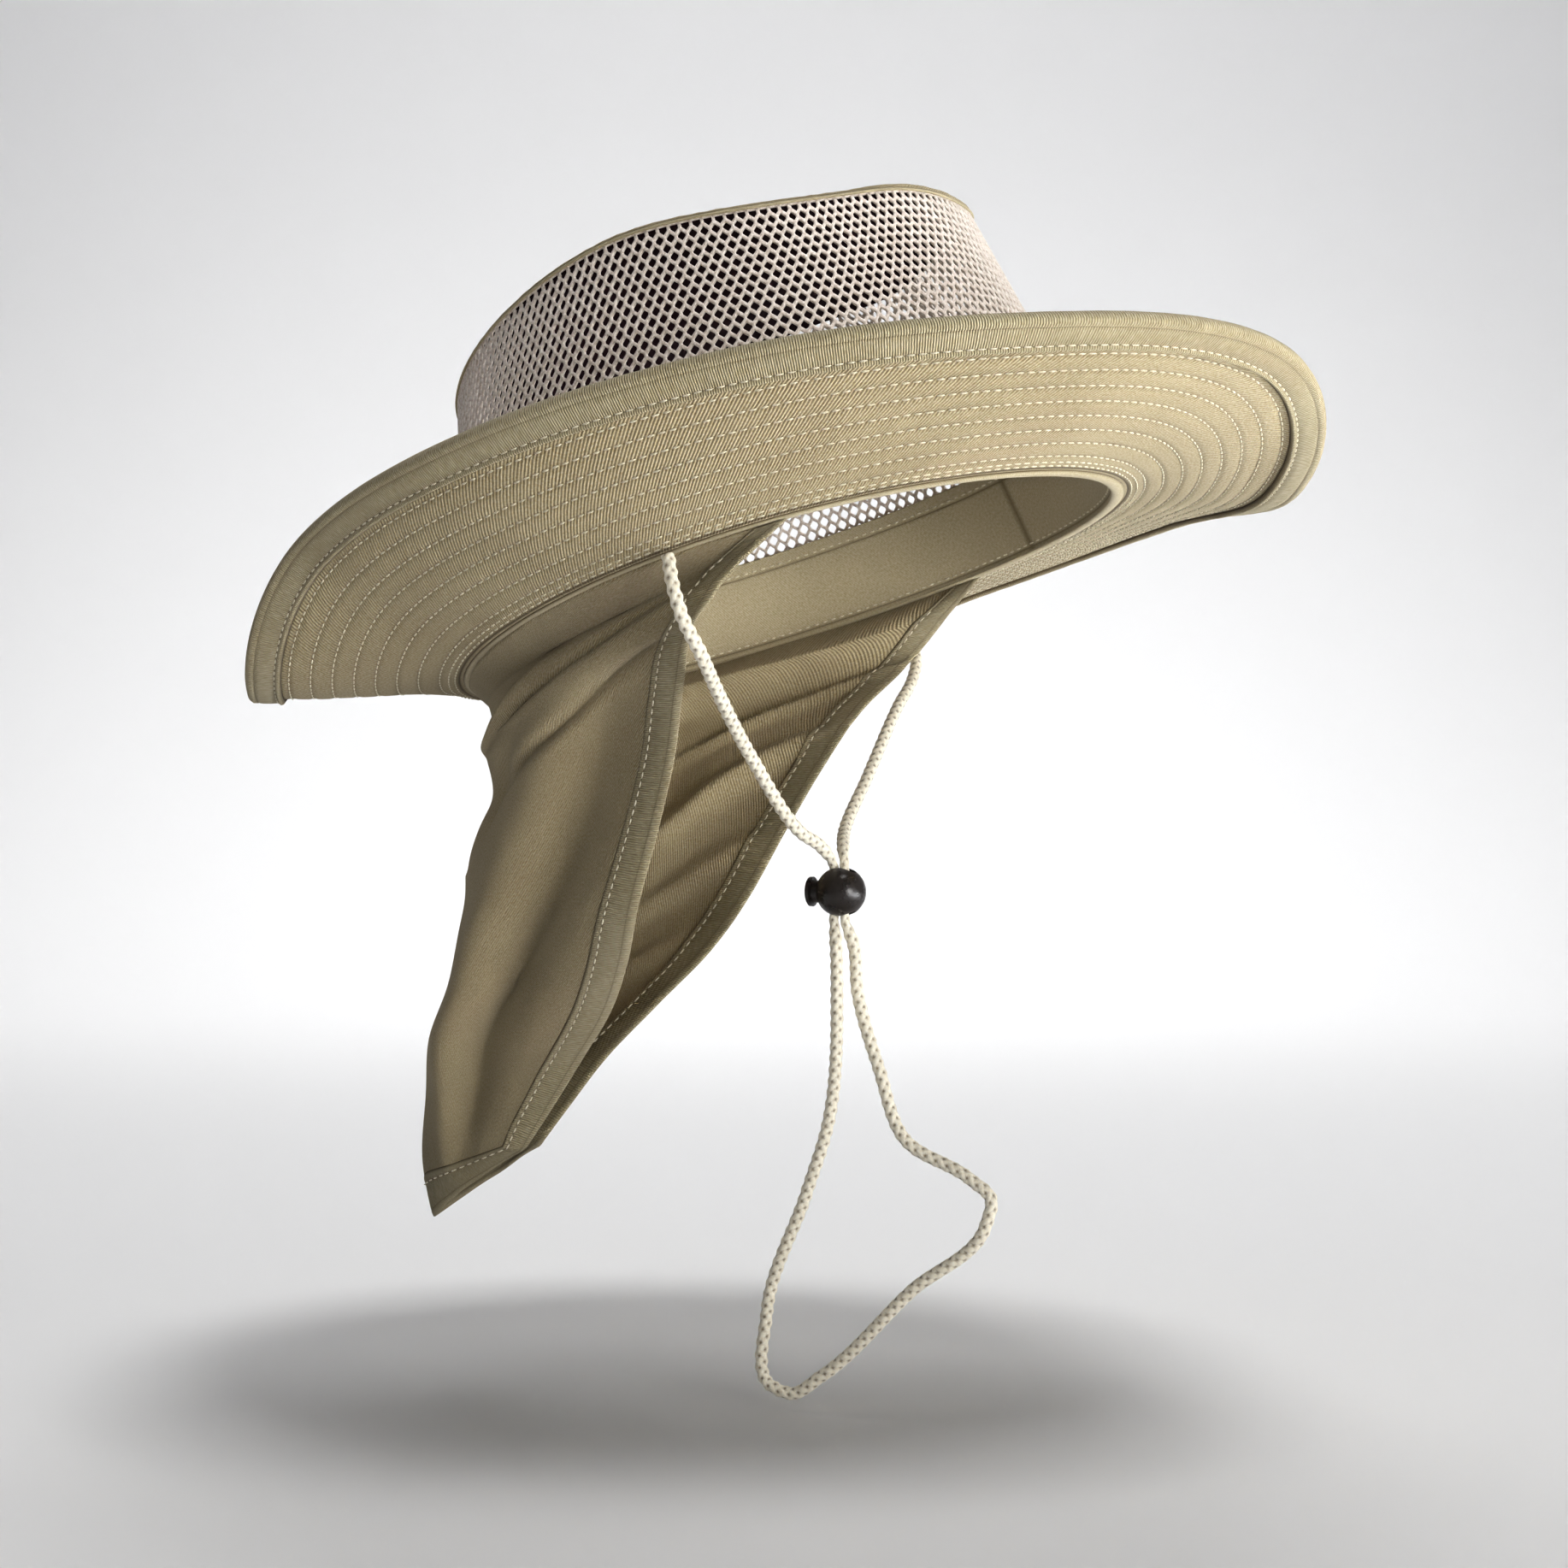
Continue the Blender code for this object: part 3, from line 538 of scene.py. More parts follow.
def wallOffset(angle, height, start):
    return start - height * tan(hat["crownLean"]) - pinch(angle, height)


def crownWallHeight(angle):
    folded = abs((angle + 180.0) % 360.0 - 180.0)
    return blendRows(crown["heights"], folded)[0] * hat["crownHeight"]


netStart = hat["bandWall"] + hat["gap"] + hat["netStandoff"] + hat["netWall"] / 2
brimStart = hat["bandWall"] + hat["gap"]


def topPoint(angle, share):
    base = crownWallHeight(angle)
    edge = wallOffset(angle, base + crown["topBand"], netStart)
    if share <= crown["topProfile"][1][0]:
        height = base + crown["topBand"] * share / crown["topProfile"][1][0]
        return rimPoint(angle, wallOffset(angle, height, netStart), height)
    inward, rise = blendRows(crown["topProfile"], share)
    rim, out = openingFrame(angle)
    rim = rim + out * edge
    flat = Vector((rim.x, rim.y, 0.0)) * (1 - inward)
    level = (1 - inward) * base + inward * hat["crownHeight"] * crown["topCentre"]
    across = flat.x / crown["dentWidth"]
    along = flat.y / crown["dentLength"]
    dent = crown["dentDepth"] * exp(-across * across - along * along)
    return tipped(flat.x, flat.y, level + crown["topBand"] + rise * crown["topRounding"] - dent)


def makeCrownTop():
    def place(across, along):
        angle = 360.0 * across - 180.0
        point = topPoint(angle, along)
        seam = exp(-((along - crown["puckerLine"]) / crown["puckerReach"]) ** 2)
        gathers = sin(radians(angle * crown["puckersRound"])) * seam
        ripple = crown["puckers"] * (ringNoise(angle, 0.35, along * 9 + 3.0) * 2 + gathers)
        fade = min(along * 4, (1.0 - along) * 4, 1.0)
        shade = crown["edgeShade"] * exp(-(along / crown["edgeReach"]) ** 2)
        return point + Vector((0, 0, ripple * fade)), shade
    sheet = mappedGrid(crown["columns"], crown["rows"], place, *crown["topCloth"], wrapAcross=True)
    border = [edge for edge in sheet.edges if edge.is_boundary]
    centre = topPoint(0, 1.0)
    inner = [edge for edge in border if (edge.verts[0].co - centre).length < crown["centreReach"]]
    closing = bmesh.ops.contextual_create(sheet, geom=inner)
    bmesh.ops.triangulate(sheet, faces=closing["faces"])
    bmesh.ops.recalc_face_normals(sheet, faces=sheet.faces)
    piece = addPiece("crownTop", meshFrom("crownTop", sheet), twill)
    # the crown top's inner face gets the near black painted shade
    piece.data.materials.append(crownInsideShade)
    wall = giveWall(piece, crown["topWall"])
    wall.material_offset = 1
    wall.use_even_offset = False
    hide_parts("crown_top")


# knitted net: six-sided meshes in staggered rows, cut through
net = {"around": 166, "rows": 31, "strand": 0.00092, "wall": 0.0008, "point": 0.30}


def makeCrownNet():
    knit = bmesh.new()
    column = knit.verts.layers.int.new("column")
    line = knit.verts.layers.int.new("line")
    columns = 2 * net["around"]
    bmesh.ops.create_grid(knit, x_segments=columns, y_segments=net["rows"], size=0.5)
    bottom = hat["brimWall"] / 2 + hat["gap"]
    for vert in knit.verts:
        across = round((vert.co.x + 0.5) * columns)
        up = round((vert.co.y + 0.5) * net["rows"])
        vert[column] = across
        vert[line] = up
        zigzag = net["point"] if (across + up) % 2 == 0 else -net["point"]
        if up in (0, net["rows"]):
            zigzag = 0.0
        share = (up + zigzag) / net["rows"]
        angle = 360.0 * across / columns - 180.0
        height = bottom + share * (crownWallHeight(angle) - hat["gap"] - bottom)
        vert.co = rimPoint(angle, wallOffset(angle, height, netStart), height)
    bmesh.ops.remove_doubles(knit, verts=knit.verts, dist=1e-6)
    loose = []
    for edge in knit.edges:
        low, high = sorted(edge.verts, key=lambda vert: vert[line])
        if low[line] != high[line] and (low[column] + low[line]) % 2 == 1:
            loose.append(edge)
    bmesh.ops.dissolve_edges(knit, edges=loose, use_verts=False)
    meshes = list(knit.faces)
    bmesh.ops.recalc_face_normals(knit, faces=meshes)
    bmesh.ops.inset_individual(knit, faces=meshes, thickness=net["strand"] / 2, use_even_offset=True)
    bmesh.ops.delete(knit, geom=meshes, context="FACES")
    piece = addPiece("crownNet", meshFrom("crownNet", knit), netYarn)
    giveWall(piece, net["wall"])
    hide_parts("crown_net")


# thin corded edge where the top is sewn to the net
def makeTopPiping():
    def place(across, around):
        angle = 360.0 * across - 180.0
        turn = 2 * pi * around
        height = crownWallHeight(angle) + crown["piping"] * sin(turn)
        offset = wallOffset(angle, height, netStart) + hat["netWall"] / 2 + crown["piping"] * cos(turn)
        return rimPoint(angle, offset, height)
    sheet = mappedGrid(crown["pipingColumns"], crown["pipingSides"], place, *crown["pipingCloth"],
                       wrapAcross=True, wrapAlong=True)
    piece = addPiece("topPiping", meshFrom("topPiping", sheet), bandTwill)


makeCrownTop()
makeCrownNet()
makeTopPiping()
print("crown made")


# brim: a stitched band whose lift is not the same all round
brim = {
    "width": 0.065, "curl": 0.30, "ledge": 0.0035, "tapeWidth": 0.0095, "tapeWall": 0.0008,
    "table": (
        # angle from the front, width as a share of the brim's, lift in degrees
        (-180, 1.10, 38), (-157, 1.03, 10.5), (-130, 0.99, 35), (-100, 0.96, 37), (-70, 0.90, 36),
        (-40, 0.93, 24), (-10, 1.04, 8), (20, 0.86, -14), (50, 0.90, 1), (80, 0.92, 6),
        (110, 0.95, 6), (145, 1.02, 21),
    ),
    "columns": 300, "rows": 150, "cloth": (0.78, 0.13), "innerShare": 0.06, "tapeSink": 0.00025,
    "stitchRows": 8, "firstRow": 0.095, "lastRowGap": 0.035, "rowDip": 0.00034, "dipWidth": 0.0009,
    "creaseWidth": 0.0007, "ripple": 0.00028, "rowShade": 0.22,
    "tapeColumns": 420, "tapeCloth": (0.95, 0.024), "tapePucker": 0.00018,
}


def brimRow(angle):
    width, lift = blendRows(brim["table"], angle, closed=True)
    return width * brim["width"] - brimStart - brim["ledge"], radians(lift)


def brimPoint(angle, share, off=0.0, beyond=0.0):
    length, lift = brimRow(angle)
    start = lift * (1 - brim["curl"])
    turn = 2 * lift * brim["curl"]
    slope = start + turn * share
    if abs(turn) > 1e-6:
        offset = length * (sin(slope) - sin(start)) / turn
        height = length * (cos(start) - cos(slope)) / turn
    else:
        offset, height = length * share, 0.0
    offset += brimStart + brim["ledge"] + beyond * cos(slope) - off * sin(slope)
    height += beyond * sin(slope) + off * cos(slope)
    return rimPoint(angle, offset, height)


def tapeShare(angle):
    return 1 - brim["tapeWidth"] / brimRow(angle)[0]


def rowShare(angle, index):
    last = tapeShare(angle) - brim["lastRowGap"]
    return brim["firstRow"] + (last - brim["firstRow"]) * index / (brim["stitchRows"] - 1)


# how deep a place lies in the grooves of the stitch rows, from 0 to 1
def rowGroove(angle, share):
    length = brimRow(angle)[0]
    groove = 0.0
    for index in range(brim["stitchRows"]):
        near = (share - rowShare(angle, index)) * length / brim["dipWidth"]
        groove += exp(-near * near) if abs(near) < 3 else 0.0
    return groove


# the brim's section runs out along its underside, round the edge and back along its top
def makeBrim():
    half = hat["brimWall"] / 2

    def place(across, around):
        angle = 360.0 * across - 180.0
        under = around < 0.5
        share = 2 * around if under else 2 - 2 * around
        side = -1.0 if under else 1.0
        inner = brimStart + brim["ledge"]
        wave = brim["ripple"] * ringNoise(angle, 0.09, share * 5 + 1.0)
        if share < brim["innerShare"]:
            lean = share / brim["innerShare"]
            off = side * half * (1 - (1 - lean) ** 2) ** 0.5
            return rimPoint(angle, brimStart + (inner - brimStart) * lean, off)
        spot = (share - brim["innerShare"]) / (1 - brim["innerShare"])
        groove = rowGroove(angle, spot)
        thin = brim["tapeSink"] if spot > tapeShare(angle) else brim["rowDip"] * groove
        # painted shade: the seam value darkens the stitch-row grooves and the crease at the brim's inner edge
        crease = exp(-(spot * brimRow(angle)[0] / brim["creaseWidth"]) ** 2)
        shade = min(brim["rowShade"] * groove + crease, 1.0)
        return brimPoint(angle, spot, side * (half - thin) + wave), shade
    sheet = mappedGrid(brim["columns"], brim["rows"] * 2, place, *brim["cloth"],
                       wrapAcross=True, wrapAlong=True)
    piece = addPiece("brimCloth", meshFrom("brimCloth", sheet), twill)
    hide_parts("brim")


# half of the tape's section, from its inner border to the edge: a seam darkened with painted shade,
# a raised roll, a stitched groove with painted shade, the ribbed flat and a nose
tapeSection = (
    # inward, lift, seam value (painted shade)
    (0.00, 0.70, 1.0), (0.03, 1.00, 0.5), (0.07, 1.28, 0.0), (0.13, 1.34, 0.0), (0.18, 1.12, 0.1),
    (0.21, 0.96, 0.6), (0.24, 1.04, 0.1), (0.45, 1.08, 0.0), (0.70, 1.06, 0.0), (0.79, 1.00, 0.1),
    (0.82, 0.90, 0.4), (0.86, 1.00, 0.0), (0.98, 0.98, 0.0), (1.07, 0.66, 0.0),
)
# the stitch line's place on the tape, as a share inward
tapeStitch = 0.21


def makeBrimTape():
    inner = hat["brimWall"] / 2 + hat["gap"] * 0.3
    outer = inner + brim["tapeWall"]
    # the third value of each section point is painted shade, darkest in the seam at the tape's inner border
    # and in its grooves
    section = [(inward, -outer * lift, seam) for inward, lift, seam in tapeSection]
    section += [(1.10, 0.0, 0.0)]
    section += [(inward, outer * lift, seam) for inward, lift, seam in reversed(tapeSection)]
    section += [(-0.01, inner, 1.0), (0.50, inner * 0.9, 0.0), (0.99, inner * 0.5, 0.0)]
    section += [(0.99, -inner * 0.5, 0.0), (0.50, -inner * 0.9, 0.0), (-0.01, -inner, 1.0)]
    count = len(section)

    def place(across, around):
        angle = 360.0 * across - 180.0
        inward, off, seam = section[round(around * count) % count]
        leg = tapeShare(angle)
        pucker = brim["tapePucker"] * ringNoise(angle, 0.45, off * 300 + 5.0)
        share = leg + (1 - leg) * min(inward, 1.0)
        beyond = brim["tapeWidth"] * max(inward - 1.0, 0.0)
        return brimPoint(angle, share, off + pucker, beyond), seam
    sheet = mappedGrid(brim["tapeColumns"], count, place, *brim["tapeCloth"], wrapAcross=True, wrapAlong=True)
    piece = addPiece("brimTape", meshFrom("brimTape", sheet), tape)
    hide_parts("brim_tape")


# rolled border round the opening, where the band is turned over the brim's inner edge
rim = {"out": 0.0004, "halfWidth": 0.0020, "halfHeight": 0.0008, "pucker": 0.06, "columns": 360, "sides": 16,
       "cloth": (0.58, 0.010), "stitchLines": (0.0014, 0.0034)}


def makeOpeningRim():
    def place(across, around):
        angle = 360.0 * across - 180.0
        turn = 2 * pi * around
        pucker = 1 + rim["pucker"] * ringNoise(angle, 0.5, 4.0)
        out = brimStart + rim["out"] + rim["halfWidth"] * pucker * cos(turn)
        down = -hat["brimWall"] / 2 - rim["halfHeight"] * pucker * sin(turn)
        # painted shade in the crease where the roll meets the brim's underside
        return rimPoint(angle, out, down), max(cos(turn), 0.0) ** 8
    sheet = mappedGrid(rim["columns"], rim["sides"], place, *rim["cloth"], wrapAcross=True, wrapAlong=True)
    piece = addPiece("openingRim", meshFrom("openingRim", sheet), bandTwill)


makeBrim()
makeBrimTape()
makeOpeningRim()
print("brim made")


# band inside the opening: a hem at its top, a stitched foot and one upright seam
band = {"height": 0.027, "wall": 0.0012, "columns": 300, "rows": 60, "cloth": (0.573, 0.028),
        "wrinkle": 0.0007, "hem": 0.0046, "hemReach": 0.00045, "hemStitch": 0.0036, "foot": 0.0022,
        "footGroove": 0.0014, "footReach": 0.0005, "seamAngle": 55.0, "seamReach": 0.6, "groove": 0.00025,
        "grooveShade": 0.7}


def bandPoint(angle, height, inward=0.0):
    return rimPoint(angle, wallOffset(angle, height, band["wall"] / 2) - inward, height)


def makeSweatband():
    bottom = -hat["brimWall"] / 2

    def place(across, up):
        angle = 360.0 * across - 180.0
        height = bottom + up * (band["height"] - bottom)
        sag = band["wrinkle"] * ringNoise(angle, 0.06, up * 1.5 + 9.0) * sin(pi * up)
        upright = exp(-((angle - band["seamAngle"]) / band["seamReach"]) ** 2)
        hem = exp(-((height - band["height"] + band["hem"]) / band["hemReach"]) ** 2)
        foot = exp(-((height - bottom - band["footGroove"]) / band["footReach"]) ** 2)
        groove = max(upright, hem, foot)
        return bandPoint(angle, height, abs(sag) - band["groove"] * groove), band["grooveShade"] * groove
    sheet = mappedGrid(band["columns"], band["rows"], place, *band["cloth"], wrapAcross=True)
    piece = addPiece("sweatbandCloth", meshFrom("sweatbandCloth", sheet), bandTwill)
    giveWall(piece, band["wall"])
    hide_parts("sweatband")


makeSweatband()
print("band made")


# neck flap: sections from the rim down, and the folds that run across them
flap = {
    "wall": 0.0012, "seam": 0.0009, "halfArc": 110.0, "spread": 0.084, "reach": 0.125, "drop": 0.195,
    "tapeWidth": 0.0090, "tapeWall": 0.0018, "tapeSide": 0.36, "tapeColumns": 360, "tapeCloth": (0.66, 0.02),
    "tapeHold": 0.94, "clothInset": 0.55, "columns": 220, "rows": 160, "cloth": (0.34, 0.22),
    "unevenness": 0.0011, "step": 0.01, "stitchSteps": 500,
    "sections": (
        # down, edgeSide, edgeBack, edgeDrop, backBack, backDrop, belly, bellyBack
        (0.08, 0.99, -0.176, 0.008, 0.760, 0.187, 0.68, 0.74),
        (0.16, 0.99, -0.072, 0.085, 0.727, 0.225, 0.71, 0.72),
        (0.25, 0.80, 0.020, 0.172, 0.718, 0.262, 0.71, 0.72),
        (0.35, 0.65, 0.088, 0.267, 0.783, 0.338, 0.63, 0.74),
        (0.45, 0.55, 0.160, 0.370, 0.809, 0.431, 0.55, 0.79),
        (0.55, 0.46, 0.240, 0.482, 0.863, 0.523, 0.50, 0.83),
        (0.65, 0.33, 0.312, 0.569, 0.909, 0.615, 0.44, 0.86),
        (0.75, 0.18, 0.408, 0.651, 0.976, 0.708, 0.37, 0.90),
        (0.85, 0.10, 0.512, 0.728, 0.992, 0.805, 0.23, 0.91),
        (0.93, 0.07, 0.608, 0.810, 1.000, 0.903, 0.15, 0.90),
        (1.00, 0.055, 0.688, 0.877, 0.968, 0.997, 0.10, 0.87),
    ),
    "folds": (
        # across0, down0, across1, down1, height, width
        (-0.92, 0.12, -0.50, 0.97, 0.0110, 0.12),
        (-0.70, 0.20, -0.26, 0.97, -0.0030, 0.12),
        (-0.96, 0.17, -0.42, 0.34, 0.0040, 0.055),
        (-0.90, 0.10, -0.40, 0.20, 0.0026, 0.05),
        (-0.66, 0.10, -0.12, 0.26, -0.0030, 0.07),
        (-0.55, 0.20, -0.20, 0.46, 0.0030, 0.07),
        (-0.52, 0.50, -0.36, 0.98, -0.0030, 0.08),
        (0.80, 0.20, 0.40, 0.92, 0.0040, 0.10),
        (0.93, 0.27, 0.58, 0.46, 0.0060, 0.055),
        (0.98, 0.16, 0.50, 0.30, 0.0035, 0.05),
        (0.92, 0.44, 0.56, 0.62, 0.0032, 0.06),
        (0.60, 0.12, 0.16, 0.40, -0.0035, 0.08),
        (0.86, 0.60, 0.50, 0.80, 0.0026, 0.06),
    ),
    "hollows": (
        # across, down, acrossReach, downReach, height
        (-0.25, 0.33, 0.25, 0.045, 0.0028),
        (-0.25, 0.24, 0.25, 0.040, -0.0022),
        (-0.20, 0.44, 0.25, 0.045, -0.0022),
        (0.70, 0.40, 0.05, 0.03, -0.0018),
    ),
}


def flapBase(across, down):
    angle = 180.0 - flap["halfArc"] * across
    root = rimPoint(angle, brimStart + flap["wall"] / 2, -hat["brimWall"] / 2 - flap["seam"])
    first = flap["sections"][0][0]
    row = blendRows(flap["sections"], max(down, first))
    side = 1.0 if across >= 0 else -1.0
    t = abs(across)
    back = Vector((0.0, row[3] * flap["reach"], -row[4] * flap["drop"]))
    edge = Vector((side * row[0] * flap["spread"], row[1] * flap["reach"], -row[2] * flap["drop"]))
    belly = Vector((side * row[5] * flap["spread"], row[6] * flap["reach"], 0.0))
    slope = tan(hat["tipBack"])
    back.z += slope * back.y
    edge.z += slope * edge.y
    belly.z = (back.z + edge.z) / 2
    bow = back * (1 - t) ** 2 + belly * 2 * t * (1 - t) + edge * t * t
    bow.z -= slope * bow.y
    return bow if down >= first else root.lerp(bow, down / first)


def foldHeight(across, down):
    total = 0.0
    for startAcross, startDown, endAcross, endDown, height, width in flap["folds"]:
        t = (down - startDown) / (endDown - startDown)
        if 0.0 < t < 1.0:
            near = (across - startAcross - (endAcross - startAcross) * t) / width
            total += height * exp(-near * near) * sin(pi * t) ** 0.7
    for atAcross, atDown, acrossReach, downReach, height in flap["hollows"]:
        sideways = (across - atAcross) / acrossReach
        lengthways = (down - atDown) / downReach
        total += height * exp(-sideways * sideways - lengthways * lengthways)
    return total + flap["unevenness"] * noise.noise(Vector((across * 4.0, down * 4.5, 7.0)))


# place and outward direction of the flap's cloth
def flapPoint(across, down, off=0.0):
    step = flap["step"]
    along = flapBase(min(across + step, 1.0), down) - flapBase(max(across - step, -1.0), down)
    fall = flapBase(across, min(down + step, 1.0)) - flapBase(across, max(down - step, 0.0))
    outward = fall.cross(along).normalized()
    return flapBase(across, down) + outward * (foldHeight(across, down) + off)


def lengthOf(points):
    return sum((b - a).length for a, b in zip(points, points[1:]))


@lru_cache(maxsize=None)
def lengthAcross(down):
    return lengthOf([flapBase(i / 12, down) for i in range(13)])


@lru_cache(maxsize=None)
def lengthDown(across):
    return lengthOf([flapBase(across, i / 12) for i in range(13)])


# place on the flap with its front edges and hem drawn in by inset
def flapSpot(across, down, inset, off=0.0):
    drawnAcross = across * (1 - inset / lengthAcross(round(down, 6)))
    drawnDown = down * (1 - inset / lengthDown(round(across, 6)))
    return flapPoint(drawnAcross, drawnDown, off)


def makeFlap():
    def place(across, down):
        return flapSpot(2 * across - 1, down, flap["tapeWidth"] * flap["clothInset"])
    sheet = mappedGrid(flap["columns"], flap["rows"], place, *flap["cloth"])
    piece = addPiece("flapCloth", meshFrom("flapCloth", sheet), twill)
    giveWall(piece, flap["wall"])
    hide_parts("flap")
    return piece


# tape folded over the flap's front edges and hem
def flapEdgeSpot(along):
    side = flap["tapeSide"]
    if along < side:
        return -1.0, along / side
    if along > 1 - side:
        return 1.0, (1 - along) / side
    return 2 * (along - side) / (1 - 2 * side) - 1, 1.0


def makeFlapTape():
    half = flap["tapeWall"] / 2
    outward = [(1 - inward * flap["tapeHold"], lift, seam) for inward, lift, seam in tapeSection[:-2]]
    section = outward + [(0.03, 0.62, 0.0), (0.0, 0.0, 0.0), (0.03, -0.62, 0.0)]
    section += [(inset, -lift, seam) for inset, lift, seam in reversed(outward)]
    count = len(section)

    def place(along, around):
        inset, lift, seam = section[round(around * count) % count]
        across, fall = flapEdgeSpot(along)
        # the tape section's seam value is painted shade in the tape's seam and grooves
        return flapSpot(across, fall, flap["tapeWidth"] * inset, half * lift), seam
    sheet = mappedGrid(flap["tapeColumns"], count, place, *flap["tapeCloth"], wrapAlong=True)
    bmesh.ops.holes_fill(sheet, edges=[edge for edge in sheet.edges if edge.is_boundary], sides=0)
    bmesh.ops.recalc_face_normals(sheet, faces=sheet.faces)
    piece = addPiece("flapTape", meshFrom("flapTape", sheet), tape)
    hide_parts("flap_tape")
    return piece


flapCloth = makeFlap()
flapEdge = makeFlapTape()
print("flap made")


# a row of stitches: evenly apart along a line that lies on the cloth
def stitchPlaces(points, normals, pitch):
    points = np.array([tuple(point) for point in points])
    normals = np.array([tuple(normal) for normal in normals])
    run = np.concatenate([[0.0], np.cumsum(np.linalg.norm(np.diff(points, axis=0), axis=1))])
    count = max(1, int(round(run[-1] / pitch)))
    middles = (np.arange(count) + 0.5) * run[-1] / count

    def at(values, where):
        return np.stack([np.interp(where, run, values[:, k]) for k in range(3)], axis=1)
    ahead = at(points, middles + pitch * 0.3) - at(points, middles - pitch * 0.3)
    return at(points, middles), ahead, at(normals, middles)


def makeStitches(name, rows, length, width):
    bead = bmesh.new()
    bmesh.ops.create_icosphere(bead, subdivisions=1, radius=1.0)
    corners = np.array([tuple(vert.co) for vert in bead.verts]) * (length / 2, width / 2, width / 2)
    sides = np.array([[vert.index for vert in face.verts] for face in bead.faces])
    bead.free()
    places, aheads, normals = (np.concatenate(group) for group in zip(*rows))
    aheads /= np.linalg.norm(aheads, axis=1)[:, None]
    across = np.cross(normals, aheads)
    across /= np.linalg.norm(across, axis=1)[:, None]
    ups = np.cross(aheads, across)
    axes = np.stack([aheads, across, ups], axis=1)
    verts = (places[:, None] + np.einsum("vk,skx->svx", corners, axes)).reshape(-1, 3)
    faces = (sides[None] + np.arange(len(places))[:, None, None] * len(corners)).reshape(-1, 3)
    data = bpy.data.meshes.new(name)
    data.from_pydata(verts.tolist(), [], faces.tolist())
    piece = addPiece(name, data, sewingThread)
    return piece


stitch = {"pitch": 0.0030, "length": 0.0024, "width": 0.00056, "sink": 0.00014, "bandShare": 0.8, "steps": 360,
          "flapStart": 0.02, "flapEnd": 0.98}


# a row of stitches from a function that gives places along it, at a height off the cloth
def stitchRow(spot, count, first=0.0, last=1.0):
    points, normals = [], []
    for i in range(count + 1):
        share = first + (last - first) * i / count
        here = spot(share, stitch["sink"])
        points.append(here)
        normals.append((spot(share, stitch["sink"] + 0.001) - here).normalized())
    return stitchPlaces(points, normals, stitch["pitch"])


def brimRowSpot(index, side):
    depth = hat["brimWall"] / 2 - brim["rowDip"]

    def spot(share, lift):
        angle = 360 * share - 180
        return brimPoint(angle, rowShare(angle, index), side * (depth + lift))
    return spot


def tapeRowSpot(side):
    depth = hat["brimWall"] / 2 + brim["tapeWall"]

    def spot(share, lift):
        angle = 360 * share - 180
        leg = tapeShare(angle)
        return brimPoint(angle, leg + (1 - leg) * tapeStitch, side * (depth + lift))
    return spot


def rimRowSpot(inset):
    under = -hat["brimWall"] / 2
    return lambda share, lift: brimPoint(360 * share - 180, inset / brim["width"], under - lift)


def bandRowSpot(height):
    return lambda share, lift: bandPoint(360 * share - 180, height, band["wall"] / 2 + lift)


def flapRowSpot(side):
    half = flap["tapeWall"] / 2
    inset = flap["tapeWidth"] * (1 - flap["tapeHold"] * tapeStitch)
    return lambda share, lift: flapSpot(*flapEdgeSpot(share), inset, side * (half + lift))


def topRowSpot(share, lift):
    spot = topPoint(360 * share - 180, crown["stitchShare"])
    return spot + Vector((0.0, 0.0, crown["topWall"] / 2 + lift))


def makeAllStitches():
    for side, name in ((-1.0, "brimStitchesUnder"), (1.0, "brimStitchesOver")):
        rows = [stitchRow(brimRowSpot(index, side), stitch["steps"]) for index in range(brim["stitchRows"])]
        rows.append(stitchRow(tapeRowSpot(side), stitch["steps"]))
        makeStitches(name, rows, stitch["length"], stitch["width"])
    rims = [stitchRow(rimRowSpot(inset), stitch["steps"]) for inset in rim["stitchLines"]]
    makeStitches("rimStitches", rims, stitch["length"], stitch["width"])
    foot = -hat["brimWall"] / 2 + band["foot"]
    hem = band["height"] - band["hemStitch"]
    bands = [stitchRow(bandRowSpot(height), stitch["steps"]) for height in (foot, hem)]
    makeStitches("bandStitches", bands, stitch["length"] * stitch["bandShare"], stitch["width"])
    edges = []
    for side in (-1.0, 1.0):
        edges.append(stitchRow(flapRowSpot(side), flap["stitchSteps"], stitch["flapStart"], stitch["flapEnd"]))
    hemmed = makeStitches("flapStitches", edges, stitch["length"], stitch["width"])
    makeStitches("topStitches", [stitchRow(topRowSpot, stitch["steps"])], stitch["length"], stitch["width"])
    return hemmed


flapStitches = makeAllStitches()
print("stitches made")


# studio: a pale bowl that stands all round the hat, and soft lamps inside it
studio = {"floor": -0.2445, "radius": 3.2, "corner": 1.4, "height": 3.6, "segments": 96, "bendSteps": 16,
          "colour": (0.80, 0.80, 0.805, 1.0), "airColour": (1.0, 1.0, 1.0, 1.0), "air": 0.04}


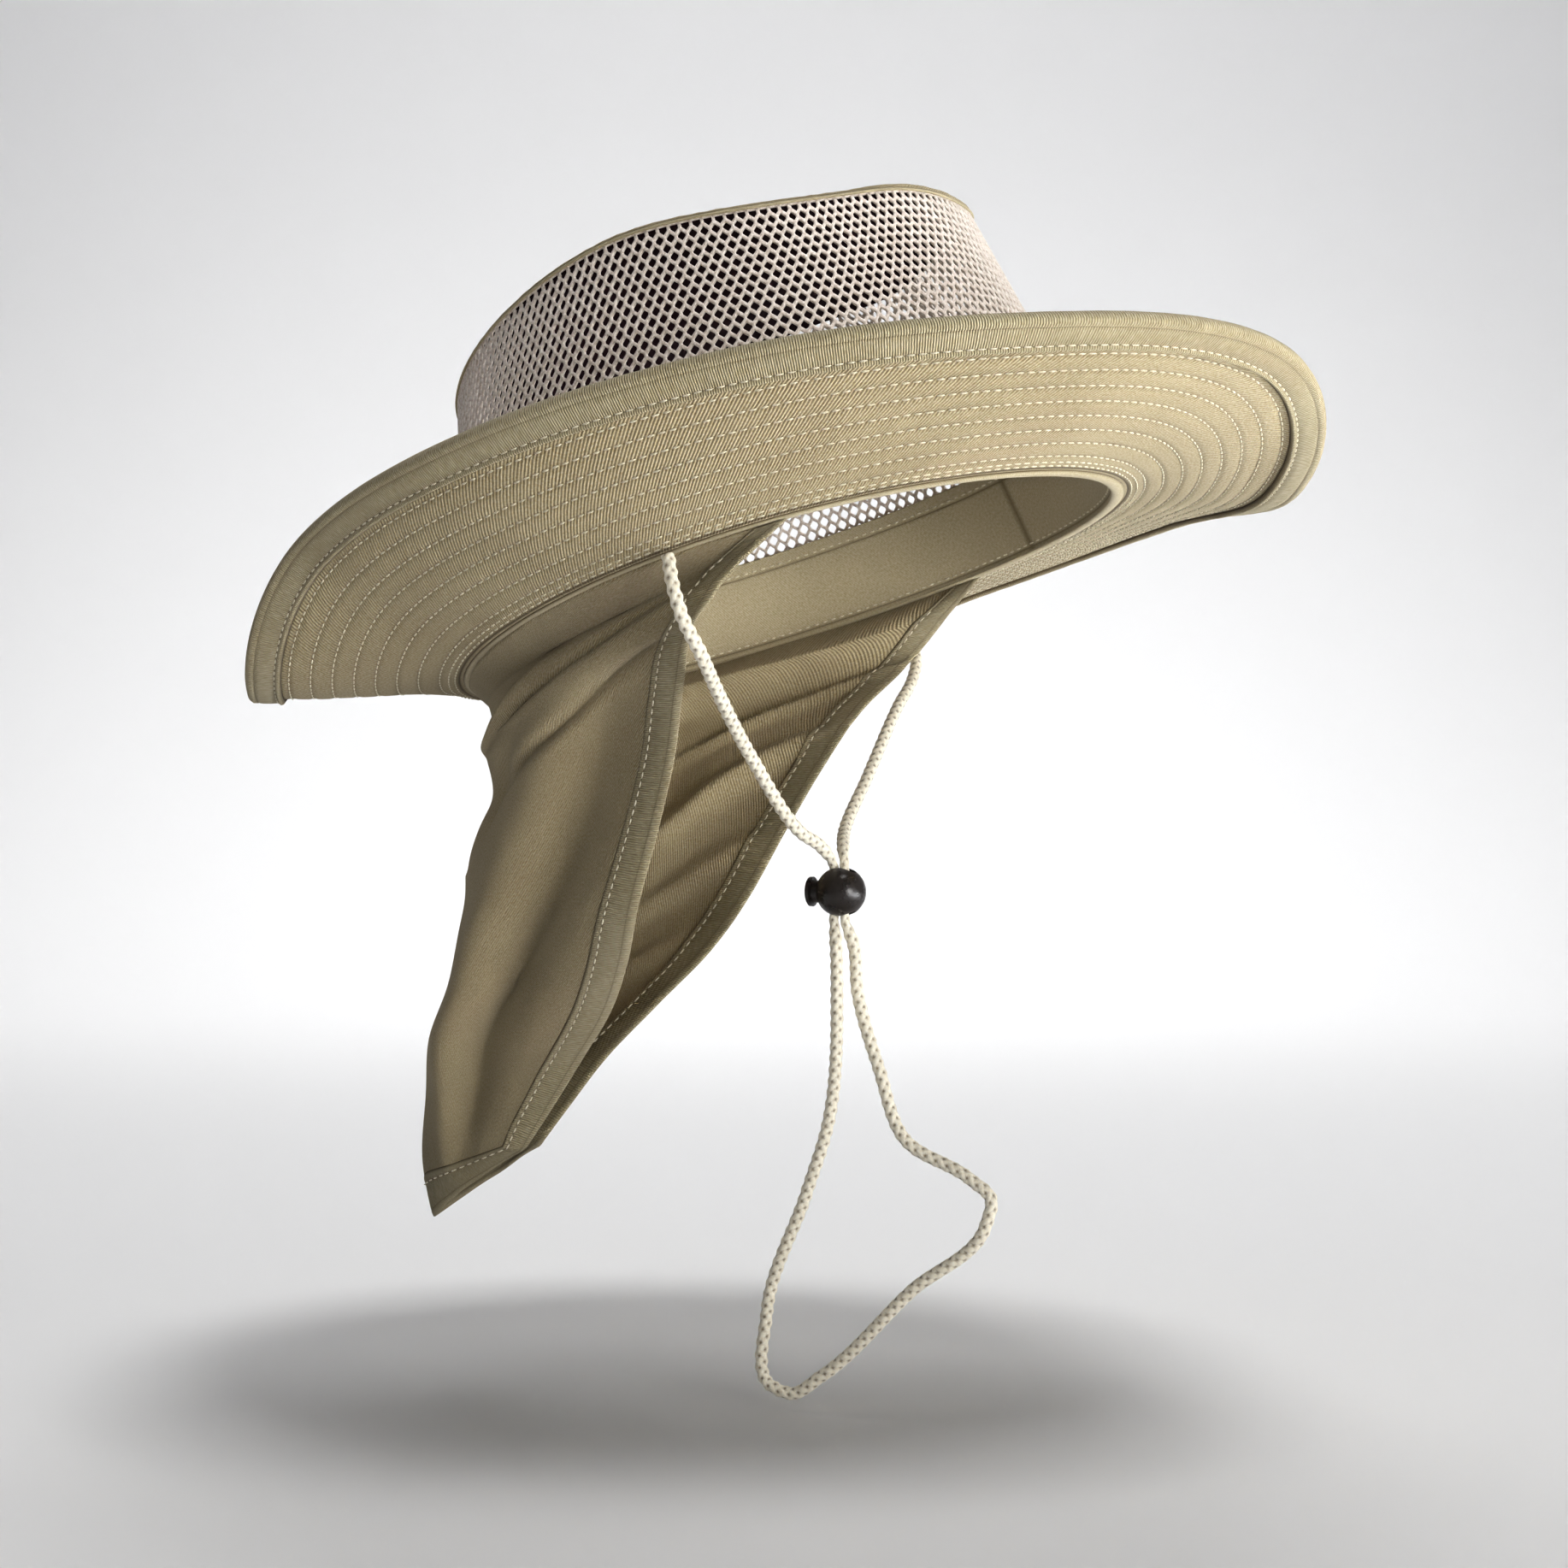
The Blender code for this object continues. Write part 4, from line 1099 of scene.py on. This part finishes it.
def makeStudio():
    bowl = bmesh.new()
    flat = studio["radius"] - studio["corner"]
    centre = bowl.verts.new((0, 0, studio["floor"]))
    knee = bowl.verts.new((flat, 0, studio["floor"]))
    profile = [bowl.edges.new((centre, knee))]
    last = knee
    for i in range(1, studio["bendSteps"] + 1):
        t = pi / 2 * i / studio["bendSteps"]
        rise = studio["corner"] * (1 - cos(t))
        spot = bowl.verts.new((flat + studio["corner"] * sin(t), 0, studio["floor"] + rise))
        profile.append(bowl.edges.new((last, spot)))
        last = spot
    top = bowl.verts.new((studio["radius"], 0, studio["height"]))
    profile.append(bowl.edges.new((last, top)))
    bmesh.ops.spin(bowl, geom=list(bowl.verts) + profile, cent=(0, 0, 0), axis=(0, 0, 1), angle=2 * pi,
                   steps=studio["segments"], use_merge=True)
    bmesh.ops.remove_doubles(bowl, verts=bowl.verts, dist=1e-5)
    finish, tree, shader = newFinish("paleFloor", 0.95)
    shader.inputs["Base Color"].default_value = studio["colour"]
    shader.inputs["Specular IOR Level"].default_value = 0.1
    piece = bpy.data.objects.new("floor", meshFrom("floor", bowl))
    bpy.context.collection.objects.link(piece)
    piece.data.materials.append(finish)
    piece.data.shade_smooth()


# lamps: place, what it points at, width and height, spread in degrees, watts, colour;
# the pool lights the floor in front of the hat, which lights the brim from below
lamps = {
    "key": ((-0.85, -1.70, 0.00), (0, 0, -0.03), 0.8, 0.5, 180, 15.0, (1.0, 0.99, 0.97)),
    "pool": ((0.0, -1.02, 1.1), (0.0, -1.02, -0.24), 0.4, 0.4, 48, 40.0, (0.96, 0.985, 1.0)),
    "over": ((-0.35, -0.55, 2.6), (0.1, 0.1, -0.24), 0.8, 0.8, 110, 12.0, (1.0, 1.0, 1.0)),
    "backdrop": ((0.9, 0.4, 2.6), (2.9, 1.25, 0.3), 2.0, 1.0, 90, 12.0, (1.0, 1.0, 1.0)),
    "floorWash": ((1.5, 0.6, 2.9), (1.5, 0.6, -0.24), 1.8, 1.8, 80, 14.0, (1.0, 1.0, 1.0)),
}


def makeLamps():
    for name, (place, target, width, height, spreadOut, power, colour) in lamps.items():
        data = bpy.data.lights.new(name, "AREA")
        data.shape = "RECTANGLE"
        data.size = width
        data.size_y = height
        data.energy = power
        data.spread = radians(spreadOut)
        data.color = colour
        lamp = bpy.data.objects.new(name, data)
        bpy.context.collection.objects.link(lamp)
        lamp.location = place
        lamp.rotation_euler = (Vector(target) - Vector(place)).to_track_quat("-Z", "Y").to_euler()
    world = bpy.data.worlds.new("studioAir")
    world.use_nodes = True
    air = world.node_tree.nodes["Background"]
    air.inputs["Color"].default_value = studio["airColour"]
    air.inputs["Strength"].default_value = studio["air"]
    bpy.context.scene.world = world


makeStudio()
makeLamps()
print("studio made")
